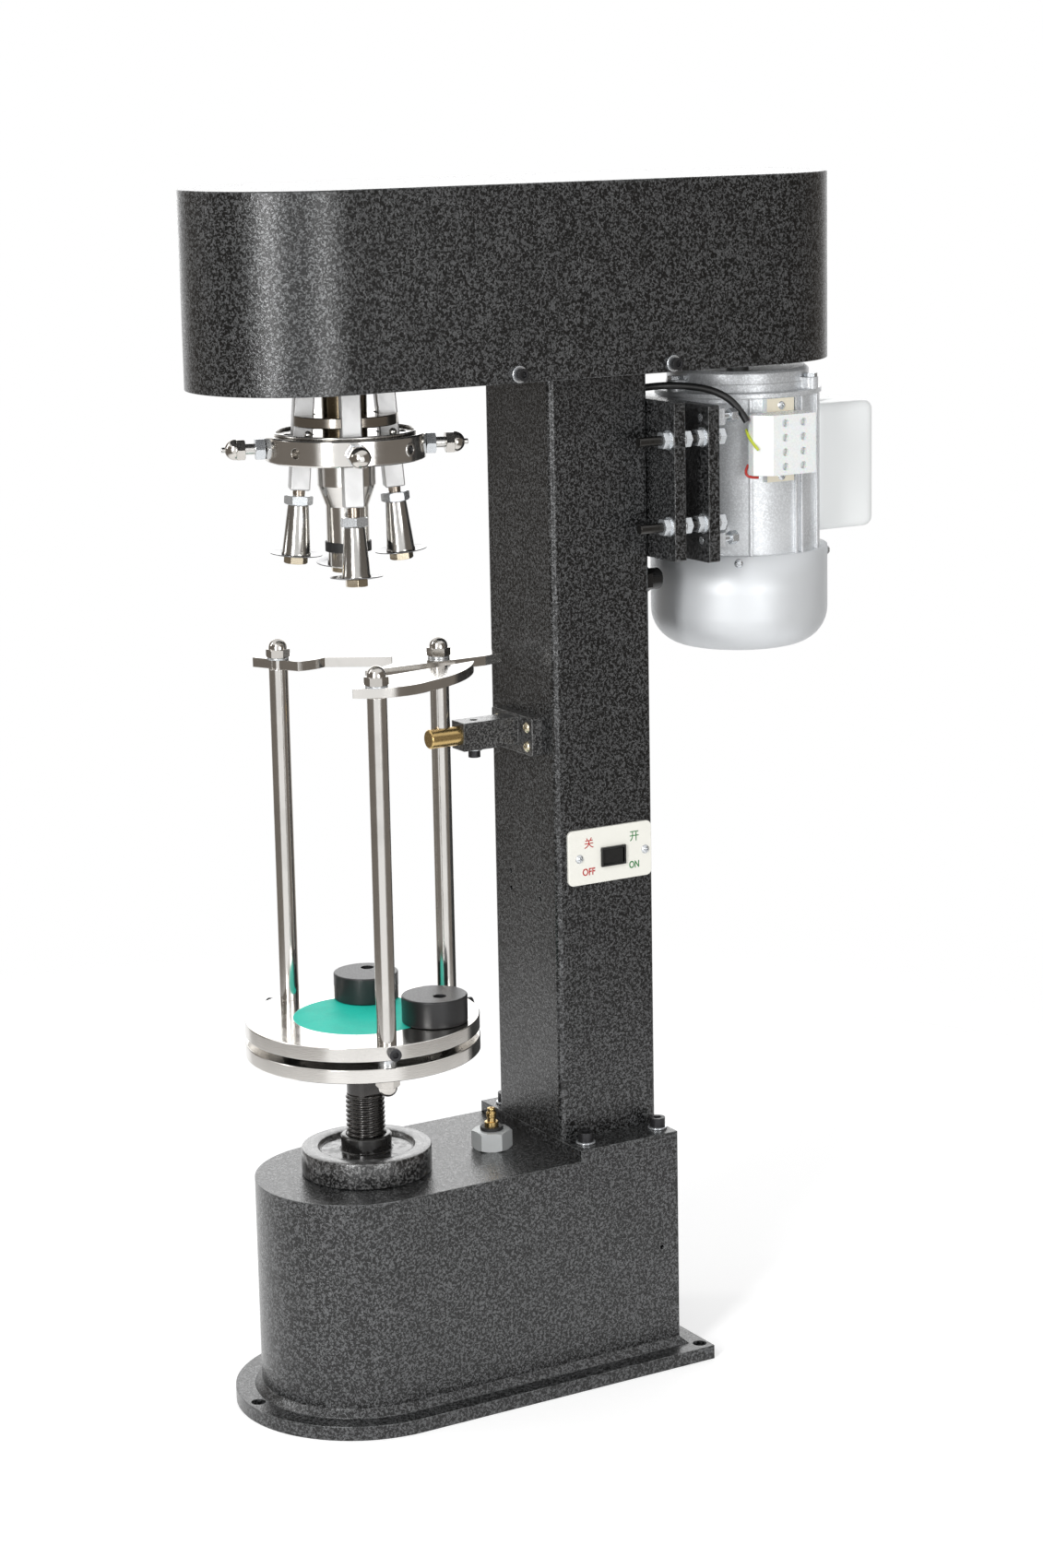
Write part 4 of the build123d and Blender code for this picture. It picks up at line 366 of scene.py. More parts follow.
def finish_table(looks):
    """Each finish: its maker, the maker's values in order, and its named values."""
    fine, motor = looks.fleck_size, looks.motor
    even, broad, turned = grey(900), grey(120), (160, 160, 2600)
    return {
        "Hammered paint": (hammered_paint, looks.paint, looks.fleck, fine, {}),
        "Bracket paint": (hammered_paint, grey(0.02), grey(0.2), fine * 0.8, {}),
        "Wheel paint": (hammered_paint, grey(0.004), grey(0.2), fine * 1.2, 0.3, 1, {}),
        "Motor cast": (hammered_paint, tone(motor, 0.95), tone(motor, 1.1), fine * 0.8, 0.4, 0.2, {"depth": 0.25}),
        # Black oxide, wheel grease, thread steel and greased steel get much lighter edges (bright 2 to 4): partly
        # wear, partly painted highlight rings.
        "Black oxide": (metal, (0.045, 0.045, 0.048), (0.3, 0.5), {"stain": 0.6, "bright": 3, "metallic": 0.7}),
        "Ground steel": (metal, (0.55, 0.55, 0.56), (0.2, 0.36), (150, 150, 2600), {}),
        "Brass": (metal, looks.brass, (0.24, 0.36), even, 0.2, 0.012, {"depth": 0.02}),
        "Bronze": (metal, (0.42, 0.27, 0.13), (0.3, 0.5), {}),
        "Stud steel": (metal, (0.40, 0.345, 0.29), (0.22, 0.4), (900, 900, 1900), 0.5, {}),
        "Yellow zinc": (metal, (0.64, 0.57, 0.42), (0.24, 0.4), even, 0.7, 0.006, {}),
        "Zinc plate": (metal, (0.66, 0.685, 0.71), (0.24, 0.34), even, 0.2, 0.02,
                       {"metallic": 0.8, "depth": 0.02, "dark": 0.8}),
        "Polished steel": (metal, looks.steel, (0.10, 0.2), (2400, 2400, 160), 0.35, 0.05, 0.0006, {}),
        "Polished ring": (metal, looks.steel, (0.12, 0.24), turned, 0.3, 0.04, 0.0006, {}),
        # Polished steel darkened far below its own colour for the saucers: painted shade and reflection.
        "Saucer steel": (metal, (0.19, 0.19, 0.195), (0.14, 0.26), turned, 0.3, 0.04, {}),
        "Holder steel": (metal, (0.56, 0.55, 0.53), (0.12, 0.24), (1200, 1200, 90), 0.5, 0.03, {}),
        "Disc steel": (metal, (0.40, 0.365, 0.32), (0.12, 0.24), turned, 0.4, 0.03, {}),
        "Fitting zinc": (metal, (0.60, 0.62, 0.62), (0.34, 0.48), {"metallic": 0.35, "depth": 0.05}),
        "Wheel grease": (metal, (0.01, 0.0095, 0.009), (0.03, 0.5), grey(220), 1, 0.012,
                         {"metallic": 0, "depth": 0.25, "bright": 2, "coat": 0.6}),
        "Pale brass": (metal, (0.68, 0.60, 0.46), (0.16, 0.3), (1300, 1300, 240), 0.4, 0.012, {}),
        "Oiled bronze": (metal, (0.15, 0.12, 0.08), (0.18, 0.34), (160, 160, 2200), 0.6, 0.02, {}),
        "Thread steel": (metal, (0.07, 0.068, 0.065), (0.3, 0.5), (60, 900, 60), 0.5, {"bright": 3}),
        "Bright steel": (metal, (0.66, 0.65, 0.63), (0.18, 0.34), (700, 700, 200), 0.4, {}),
        "Arm steel": (metal, grey(0.62), (0.4, 0.56), (1300, 1300, 300), 0.35, 0.02, 0.0007, 0.75, {}),
        "Nickel": (metal, looks.nickel, (0.1, 0.2), even, 0.3, 0.01, {}),
        "Greased steel": (metal, (0.035, 0.032, 0.03), (0.14, 0.34), even, 0.8, 0.012,
                          {"metallic": 0.85, "bright": 4, "coat": 0.8}),
        "Pulley iron": (metal, grey(0.2), (0.4, 0.6), {}),
        "Rotor steel": (metal, grey(0.3), (0.4, 0.6), {}),
        "Motor smooth": (metal, motor, (0.44, 0.54), broad, 0.3, 0.08, 0.001, 0.3, 0.01, 0.88, {}),
        "Box silver": (metal, tone(motor, 1.36), (0.3, 0.36), broad, 0.12, 0.08, 0.001, 0, 0.01, 0.96, {}),
        "Grip pad": (moulded, looks.pad, (0.5, 0.7), 900, 0.25, 0.4, 0.0004, 0.8, {}),
        "Stop nylon": (moulded, (0.016, 0.016, 0.017), (0.28, 0.42), 700, 0.15, 0.4, 0.0008, 0.6, {}),
        "Black plastic": (moulded, grey(0.012), (0.12, 0.24), 1500, 0.03, 0.3, {}),
        "Black rubber": (moulded, grey(0.014), (0.45, 0.65), 1200, 0.1, 0.4, {}),
        "Cable sheath": (moulded, grey(0.013), (0.3, 0.45), 1200, 0.06, 0.3, {}),
        "Switch plate": (moulded, looks.plate, (0.16, 0.28), 600, 0.03, 0.2, 0.0008, 0.95, {"Coat_Weight": 0.5}),
        "Terminal block": (moulded, looks.block, (0.2, 0.34), 700, 0.04, 0.25, 0.0006, 0.92,
                           {"Subsurface_Weight": 0.25, "Subsurface_Scale": 0.004}),
        "Terminal saddle": (moulded, (0.82, 0.76, 0.62), (0.3, 0.45), 800, 0.08, 0.4, {}),
        "Red mark": (moulded, looks.off_mark, (0.35, 0.5), {}),
        "Green mark": (moulded, looks.on_mark, (0.35, 0.5), {}),
        "Red wire": (moulded, (0.5, 0.03, 0.02), (0.3, 0.45), {}),
        "Earth wire": (moulded, (0.55, 0.62, 0.05), (0.3, 0.45), {}),
    }


def finish(name):
    """The material of that name, made when it is first asked for."""
    if name not in bpy.data.materials:
        maker, *values, named = finish_table(bpy.context.scene.machine_finish)[name]
        maker(name, *values, **named)
    return bpy.data.materials[name]


# Pieces
def link_object(name, data):
    """New object in the scene."""
    obj = bpy.data.objects.new(name, data)
    bpy.context.scene.collection.objects.link(obj)
    return obj


def close_mesh(name, bm, edge_angle=32):
    """New object from a bmesh, smooth, with sharp edges where faces turn by more than the angle."""
    bmesh.ops.recalc_face_normals(bm, faces=bm.faces)
    limit = radians(edge_angle)
    for face in bm.faces:
        face.smooth = True
    for edge in bm.edges:
        if len(edge.link_faces) == 2 and edge.calc_face_angle(0) > limit:
            edge.smooth = False
    mesh = bpy.data.meshes.new(name)
    bm.to_mesh(mesh)
    bm.free()
    return link_object(name, mesh)


def bevel(obj, width, segments=2, angle=30):
    """Round the sharp edges of a piece."""
    rounded = obj.modifiers.new("Broken edges", "BEVEL")
    rounded.width, rounded.segments = width * mm, segments
    rounded.limit_method, rounded.angle_limit = "ANGLE", radians(angle)
    rounded.harden_normals = True
    return obj


def fit(obj, material, body, slot, *stands_for):
    """Give a piece its finish and its body, and hide the CAD nodes it stands for. The slot is not used."""
    obj.data.materials.clear()
    obj.data.materials.append(finish(material))
    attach(obj, body)
    if stands_for:
        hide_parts(*stands_for)


def paint_nodes(material, *names):
    """Give the CAD nodes that keep their shape a finish."""
    for name in names:
        slots = nodes[name].data.materials
        slots.clear()
        slots.append(finish(material))


# Seats
def frame_at(point, axis, side=(1, 0, 0)):
    """Matrix of a seat at a point, whose Z lies along an axis and whose X is nearest to side."""
    z = Vector(axis).normalized()
    x = Vector(side)
    x = (x - z * x.dot(z)).normalized()
    turn = Matrix((x, z.cross(x), z)).transposed().to_4x4()
    return Matrix.Translation(Vector(point) * mm) @ turn


def directions(angle):
    """Outward and sideways directions at a plan angle."""
    turn = radians(angle)
    return Vector((cos(turn), sin(turn), 0)), Vector((-sin(turn), cos(turn), 0))


def polar(reach, angle, z):
    """Point on a circle about the spindle's axis."""
    return directions(angle)[0] * reach + Vector((0, 0, z))


def outward_seat(reach, angle, z):
    """Matrix of a seat on an upright cylinder, facing away from its axis."""
    return frame_at(polar(reach, angle, z), *directions(angle))


def arm_seat(name, along):
    """Matrix on a leaning arm's axis, at a distance up from its pivot, with X pointing outward."""
    lean = radians(arm_lean)
    out, rise = directions(arm_angles[name])[0], Vector(upward)
    axis = rise * cos(lean) - out * sin(lean)
    face = out * cos(lean) + rise * sin(lean)
    return frame_at(polar(arm_pivot[0], arm_angles[name], arm_pivot[1]) + axis * along, axis, face)


# Shapes
def ring_points(radius, height, count=72, place=None):
    """Ring of points, whose radius and height are numbers or depend on the angle."""
    points = []
    for i in range(count):
        angle = 2 * pi * i / count
        r, z = (v(angle) if callable(v) else v for v in (radius, height))
        point = Vector((r * cos(angle), r * sin(angle), z)) * mm
        points.append(place @ point if place else point)
    return points


def add_rings(bm, rows, looped=False):
    """Skin through rings of points, with a cap at each end, or looped back to the first ring."""
    rings = [[bm.verts.new(p) for p in row] for row in rows]
    count = len(rings[0])
    pairs = list(zip(rings, rings[1:]))
    if looped:
        pairs.append((rings[-1], rings[0]))
    for low, high in pairs:
        for i in range(count):
            j = (i + 1) % count
            bm.faces.new((low[i], low[j], high[j], high[i]))
    if not looped:
        bm.faces.new(rings[0][::-1])
        bm.faces.new(rings[-1])


def add_turned(bm, profile, place=None, count=72, looped=False):
    """Round solid from (radius, height) pairs about its own axis."""
    add_rings(bm, [ring_points(r, z, count, place) for r, z in profile], looped)


def skin_piece(name, rows, edge_angle=32, looped=False):
    """Skin through rings of points, as a piece of its own."""
    bm = bmesh.new()
    add_rings(bm, rows, looped)
    return close_mesh(name, bm, edge_angle)


def turned_piece(name, profile, place=None, count=72, looped=False):
    """Round solid as a piece of its own."""
    return skin_piece(name, [ring_points(r, z, count, place) for r, z in profile], looped=looped)


def add_washer(bm, place, inner, outer, height=1.7):
    """Flat washer with broken outer edges, standing on its seat."""
    rim = height * 0.2
    profile = (
        (inner, 0), (outer - rim, 0), (outer, rim), (outer, height - rim), (outer - rim, height), (inner, height),
    )
    add_turned(bm, profile, place, looped=True)


def add_nut(bm, across, low, high, place, cap=()):
    """Hexagon nut on an axis, whose corners are turned off, with an optional dome above it."""
    face_r, slope = across / 2 * 1.015, 0.58

    def side(angle):
        return across / 2 / cos(angle % (pi / 3) - pi / 6)

    def corner(level, way):
        return lambda angle: level + way * max(0, side(angle) - face_r) * slope

    narrow = face_r * 0.985
    profile = ((narrow, low), (side, corner(low, 1)), (side, corner(high, -1)), (narrow, high), *cap)
    add_turned(bm, profile, place)


def nut_piece(name, across, low, high, place, edge=0.25):
    """Hexagon nut as a piece of its own."""
    bm = bmesh.new()
    add_nut(bm, across, low, high, place)
    return bevel(close_mesh(name, bm), edge)


def dome(radius, low):
    """Profile of a half ball from a foot height."""
    steps = 10
    turns = [pi / 2 * i / steps for i in range(steps)]
    return [(radius * cos(t), low + radius * sin(t)) for t in turns] + [(radius * 0.02, low + radius)]


def add_block(bm, size, middle):
    """Rectangular block."""
    made = bmesh.ops.create_cube(bm, size=1)["verts"]
    bmesh.ops.scale(bm, vec=Vector(size) * mm, verts=made)
    bmesh.ops.translate(bm, vec=Vector(middle) * mm, verts=made)


class CAPPING_OT_castings(bpy.types.Operator):
    """Paint the base, column, cover and brackets"""

    bl_idname = "capping.castings"
    bl_label = "Painted Body"

    def execute(self, context):
        paint_nodes(
            "Hammered paint", "base_plate", "base_housing", "column_flange", "column", "fixed_plate",
            "top_plate", "upper_cover", "bearing_housing", "motor_plate",
        )
        paint_nodes("Bracket paint", "guide_bracket")
        return {"FINISHED"}


class CAPPING_OT_fasteners(bpy.types.Operator):
    """Finish the screws and put a plated washer under each socket screw"""

    bl_idname = "capping.fasteners"
    bl_label = "Screws and Washers"

    def execute(self, context):
        paint_nodes("Black oxide", "m8_screws", "m6_screws", "platform_screws")
        paint_nodes("Yellow zinc", "bracket_screws")
        paint_nodes("Zinc plate", "pan_screws", "stud_nuts", "motor_bolts")
        paint_nodes("Thread steel", "tension_studs")
        large, small = (4, 8.35), (3, 6.75)
        flange_screws = [(x, y, 202.02) for x in (67, -67) for y in (172, 243.5)]
        cover_side, cover_z = 89.72, 852.0
        clamp_screw = (0, 111, 536.98)
        bm = bmesh.new()
        for point in flange_screws:
            add_washer(bm, frame_at(point, upward), *large)
        for side in (1, -1):
            for y in (108.6, 253):
                add_washer(bm, frame_at((side * cover_side, y, cover_z), (side, 0, 0), (0, 1, 0)), *small)
        add_washer(bm, frame_at(clamp_screw, downward), *small)
        fit(close_mesh("plated_washers", bm), "Zinc plate", "frame", "zinc_steel")
        return {"FINISHED"}


class CAPPING_OT_lift(bpy.types.Operator):
    """Cut the thread of the lift screw and build its wheel"""

    bl_idname = "capping.lift"
    bl_label = "Lift Screw and Lock Wheel"

    def execute(self, context):
        sizes = context.scene.machine_sizes
        pitch, depth = sizes.thread_pitch / mm, sizes.thread_depth / mm
        outer, neck, flat, tip = 16.25, 15, 12.5, 10.0
        low, high, run_out = 100, 260, 2.0
        count, step = 64, pitch / 8
        rows = []
        for k in range(int((high - low) / step) + 1):
            z = low + k * step
            fade = min(1, (high - z) / run_out, (z - low) / run_out + 0.3)

            def thread(angle, z=z, fade=fade):
                phase = (z / pitch - angle / (2 * pi)) % 1.0
                flank = min(1, max(0, abs(phase - 0.5) * 3.4 - 0.3))
                return outer - depth * flank * fade - (1.0 - fade) * 0.8

            rows.append(ring_points(thread, z, count))

        def flats(angle):
            return min(neck, flat / max(1e-6, abs(cos(angle))))

        rows += [ring_points(flats, z, count) for z in (260.3, 261, 280, 296.4)]
        rows += [ring_points(tip, z, count) for z in (296.6, 308)]
        screw = skin_piece("lift_screw_thread", rows, 40)
        fit(screw, "Greased steel", "platform", "greased_steel", "lift_screw")
        rim = (
            (16.6, 193), (52.6, 193), (53.6, 193.4), (54, 194.4), (54, 213.2), (53.4, 214.6), (52.2, 215),
            (41.4, 215), (40.4, 214.6), (39.4, 212.4), (38.4, 211.6), (16.6, 211.6),
        )
        wheel = turned_piece("wheel_rim", rim, count=96, looped=True)
        fit(wheel, "Wheel paint", "wheel", "wheel_paint", "lock_wheel")
        hub = (
            (16.6, 211.7), (38.3, 211.7), (36, 211.9), (22.4, 211.9), (21.3, 212.6), (21, 214), (21, 223.4),
            (20.2, 224.6), (19.4, 225), (17.2, 225), (16.6, 224.4),
        )
        fit(turned_piece("wheel_hub", hub, count=96, looped=True), "Wheel grease", "wheel", "wheel_paint")
        paint_nodes("Bronze", "lift_bush")
        return {"FINISHED"}


class CAPPING_OT_fitting(bpy.types.Operator):
    """Build the hexagon fitting, its ring and its brass nipple"""

    bl_idname = "capping.fitting"
    bl_label = "Lubrication Fitting"

    def execute(self, context):
        seat = frame_at((8, 115, 192.7), upward)
        body = nut_piece("fitting_hexagon", 30, 0, 16, seat, 0.4)
        fit(body, "Fitting zinc", "frame", "zinc_steel", "lubrication_fitting")
        ring = ((6, 16), (9.3, 16), (9.8, 16.5), (9.8, 18.4), (9.2, 19), (6, 19))
        fit(turned_piece("fitting_ring", ring, seat), "Black rubber", "frame", "black_rubber")
        nipple = (
            (6, 18.8), (6, 22.6), (5.6, 23), (3.7, 23.2), (3.6, 26.6), (4.3, 27), (4.4, 30.6),
            (3.9, 31.2), (3.3, 32), (3.3, 33.4), (3.6, 33.9), (3.4, 34.6), (2.4, 35), (1.3, 35), (1.2, 34),
        )
        fit(turned_piece("fitting_nipple", nipple, seat), "Brass", "frame", "satin_brass")
        return {"FINISHED"}


class CAPPING_OT_platform(bpy.types.Operator):
    """Finish the platform, its stops, posts and neck plates, and build the domed nuts"""

    bl_idname = "capping.platform"
    bl_label = "Bottle Platform"

    def execute(self, context):
        paint_nodes("Polished ring", "lower_disc", "platform_disc")
        paint_nodes("Polished steel", "platform_posts", "neck_plates")
        paint_nodes("Grip pad", "bottle_pad")
        paint_nodes("Stop nylon", "bottle_stop_right", "bottle_stop_left")
        post_circle, post_angles = 83.5, (-14.5, 94.5, 199)
        plates_top, disc_foot, disc_gap = 615, 296.5, 308.0
        washer_t, across, nut_t, dome_r = 1.6, 17, 7, 7.6
        domed, plain = bmesh.new(), bmesh.new()
        for angle in post_angles:
            above = frame_at(polar(post_circle, angle, plates_top), upward)
            below = frame_at(polar(post_circle, angle, disc_foot), downward)
            between = frame_at(polar(post_circle, angle, disc_gap), upward)
            add_washer(plain, above, 5, 9.2, washer_t)
            add_turned(plain, ((7.5, 0), (7.5, 6)), between)
            for seat, lift in ((above, washer_t), (below, 0)):
                top = lift + nut_t
                add_nut(domed, across, lift, top, seat, [(7.7, top)] + dome(dome_r, top + 1))
        fit(close_mesh("post_domed_nuts", domed), "Nickel", "platform", "nickel", "post_fasteners")
        fit(close_mesh("post_washers", plain), "Zinc plate", "platform", "zinc_steel")
        return {"FINISHED"}


class CAPPING_OT_guide(bpy.types.Operator):
    """Finish the guide pin and the switch, and build the switch's words and bezel"""

    bl_idname = "capping.guide"
    bl_label = "Guide Pin and Switch"

    def execute(self, context):
        paint_nodes("Brass", "guide_pin")
        paint_nodes("Switch plate", "switch_plate")
        paint_nodes("Black plastic", "switch_body", "rocker")
        letter = context.scene.machine_sizes.letter_height
        sign = letter * 1.16
        plate_face, ink_t, bold = 55.35, 0.12, 0.14
        words = (
            ("switch_off_word", "OFF", 186.4, 431.5, letter, 0.84, "Red mark"),
            ("switch_on_word", "ON", 231, 431.8, letter, 0.76, "Green mark"),
            ("switch_off_sign", "\u5173", 186.8, 455.6, sign, 1, "Red mark"),
            ("switch_on_sign", "\u5f00", 231.3, 456, sign, 1, "Green mark"),
        )
        for name, word, y, z, size, squeeze, ink in words:
            letters = bpy.data.curves.new(name, "FONT")
            letters.body, letters.size = word, size
            letters.align_x, letters.align_y = "CENTER", "CENTER"
            letters.extrude = ink_t * mm
            letters.offset = (bold if word.isascii() else 0) * mm
            obj = link_object(name, letters)
            obj.matrix_world = Matrix.Translation(Vector((plate_face, y, z)) * mm) @ Matrix(
                ((0, 0, 1, 0), (squeeze, 0, 0, 0), (0, 1, 0, 0), (0, 0, 0, 1))
            )
            fit(obj, ink, "frame", "ivory_plastic")
        left, right, foot, top = 198.3, 222.2, 434.3, 450.8
        section = ((0, 55.2), (0, 57.2), (0.5, 57.8), (1.5, 57.8), (1.9, 57.2), (1.9, 55.2))
        rows = []
        for inward, x in section:
            ys, zs = (left + inward, right - inward), (foot + inward, top - inward)
            corners = ((ys[0], zs[0]), (ys[1], zs[0]), (ys[1], zs[1]), (ys[0], zs[1]))
            rows.append([Vector((x, y, z)) * mm for y, z in corners])
        bezel = bevel(skin_piece("switch_bezel", rows, 20, True), 0.25, 2, 20)
        fit(bezel, "Black plastic", "frame", "black_plastic")
        return {"FINISHED"}


class CAPPING_OT_head(bpy.types.Operator):
    """Finish the head and build its nuts, set screws and pivots"""

    bl_idname = "capping.head"
    bl_label = "Capping Head"

    def execute(self, context):
        paint_nodes("Polished ring", "head_ring", "pressure_sleeve")
        paint_nodes("Disc steel", "head_disc")
        paint_nodes("Bright steel", "cap_plunger", "garter_ring")
        paint_nodes("Oiled bronze", "spindle")
        paint_nodes("Black rubber", "pressure_ring", "v_belt")
        paint_nodes("Ground steel", "spindle_bearings")
        paint_nodes("Pulley iron", "spindle_pulley", "motor_pulley")
        ring_r, ring_mid, pin_length = 64, 795.75, 42.0
        across, nut_t, cap_foot, cap_top, cap_r, tip_at = 16, 8, 16, 23, 8.4, 31.6
        set_screw = ((5.6, -12), (5.6, 0.2), (5.1, 0.7), (3.5, 0.7), (3.4, -3.6), (0.1, -3.8))
        # socket: black hexagon that fills the set screw's recess, as painted shade in the hole
        socket = ((3.45, -3.5), (3.45, -0.6), (0.1, -0.8))
        turns = [radians(a) for a in range(-58, 90, 12)]
        ball_stud = [(1.6, -3), (1.6, 0.2)] + [(3.2 * cos(t), 3.0 + 3.2 * sin(t)) for t in turns]
        rods, hexes, domes, socket_shade_fills = (bmesh.new() for _ in range(4))
        for angle in arm_angles.values():
            out, sideways = directions(angle)
            pin = frame_at(polar(arm_pivot[0], angle, arm_pivot[1]) - sideways * pin_length / 2, sideways, upward)
            add_turned(rods, ((3, 0), (3, pin_length)), pin)
            seat = outward_seat(ring_r, angle, ring_mid)
            add_turned(rods, ((4.4, -17), (4.4, 17)), seat)
            add_nut(hexes, across, 0, nut_t, seat)
            add_nut(domes, across, cap_foot, cap_top, seat, [(8.3, cap_top)] + dome(cap_r, cap_top + 0.6))
            tip = frame_at(polar(ring_r + tip_at, angle, ring_mid), out, upward)
            add_turned(rods, ((2.2, 0), (2.2, 2.6), (1.8, 3), (0.1, 3)), tip)
            if abs(sideways.y) > 0.5:
                screw_seat = outward_seat(ring_r - 0.1, angle + 45, ring_mid)
                add_turned(rods, set_screw, screw_seat)
                # A black hexagon plug in each socket: painted shade in the hole, given the black oxide finish.
                add_turned(socket_shade_fills, socket, screw_seat, 6)
            add_turned(rods, ball_stud, frame_at(polar(47.5, angle + 45, 806), upward), 32)
        fit(close_mesh("head_rods", rods), "Bright steel", "head", "bright_steel", "ring_bolts")
        fit(close_mesh("adjuster_nuts", hexes), "Zinc plate", "head", "zinc_steel")
        fit(close_mesh("adjuster_domed_nuts", domes), "Nickel", "head", "nickel")
        fit(close_mesh("set_screw_socket_shade", socket_shade_fills), "Black oxide", "head", "black_oxide")
        return {"FINISHED"}


class CAPPING_OT_arms(bpy.types.Operator):
    """Build the four square arms with their studs and lock nuts"""

    bl_idname = "capping.arms"
    bl_label = "Head Arms"

    def execute(self, context):
        half, cut, top, stud_r, holder_length = 8, 0.9, 63, 4.9, 40.0
        for name in arm_angles:
            body, middle = f"{name}_arm", arm_seat(name, 0)
            square = []
            for sx, sy in ((1, 1), (-1, 1), (-1, -1), (1, -1)):
                near, far = (half * sx, (half - cut) * sy), ((half - cut) * sx, half * sy)
                square += [near, far] if sx * sy > 0 else [far, near]
            rows = []
            for z, inward in ((-foot_drop[name], cut), (-foot_drop[name] + cut, 0), (top - cut, 0), (top, cut)):
                shrink = 1.0 - inward / half
                rows.append([middle @ (Vector((x * shrink, y * shrink, z)) * mm) for x, y in square])
            bar = bevel(skin_piece(f"arm_bar_{name}", rows, 20), 0.25, 2, 20)
            fit(bar, "Arm steel", body, "bright_steel", f"arm_{name}")
            holder_top = holder_length - saucer_drop[name]
            stud = ((stud_r, holder_top - 20), (stud_r, -foot_drop[name] + 1))
            fit(turned_piece(f"arm_stud_{name}", stud, middle, 40), "Stud steel", body, "bright_steel")
            foot = holder_top + 0.3
            lock = nut_piece(f"lock_nut_{name}", 20, foot, foot + 7.3, middle)
            fit(lock, "Zinc plate", body, "zinc_steel")
        return {"FINISHED"}


class CAPPING_OT_rollers(bpy.types.Operator):
    """Build the four rollers: tapered holder, saucer disc and brass nut"""

    bl_idname = "capping.rollers"
    bl_label = "Closing Rollers"

    def execute(self, context):
        holder = (
            (5.1, 8), (5.1, 40), (7.9, 40), (8.4, 39.5), (8.7, 36), (11.2, 2.6), (11.7, 1.4), (11.7, 0.2),
            (6, 0.1),
        )
        saucer = (
            (0.5, 0), (14, 0), (15.2, 0.1), (20.5, 1.1), (20.9, 1), (21, 0.7), (20.8, 0.35), (15.4, -0.8),
            (14.2, -1), (0.5, -1),
        )
        for name in arm_angles:
            body, seat = f"{name}_roller", arm_seat(name, -saucer_drop[name])
            piece = turned_piece(f"roller_holder_{name}", holder, seat)
            fit(piece, "Holder steel", body, "polished_steel", f"roller_{name}")
            disc = turned_piece(f"roller_saucer_{name}", saucer, seat, 96)
            # The saucer's dark steel is painted shade.
            fit(disc, "Saucer steel", body, "polished_steel")
            foot = nut_piece(f"roller_nut_{name}", 16.5, -7, -1, seat)
            fit(foot, "Pale brass", body, "satin_brass")
        return {"FINISHED"}


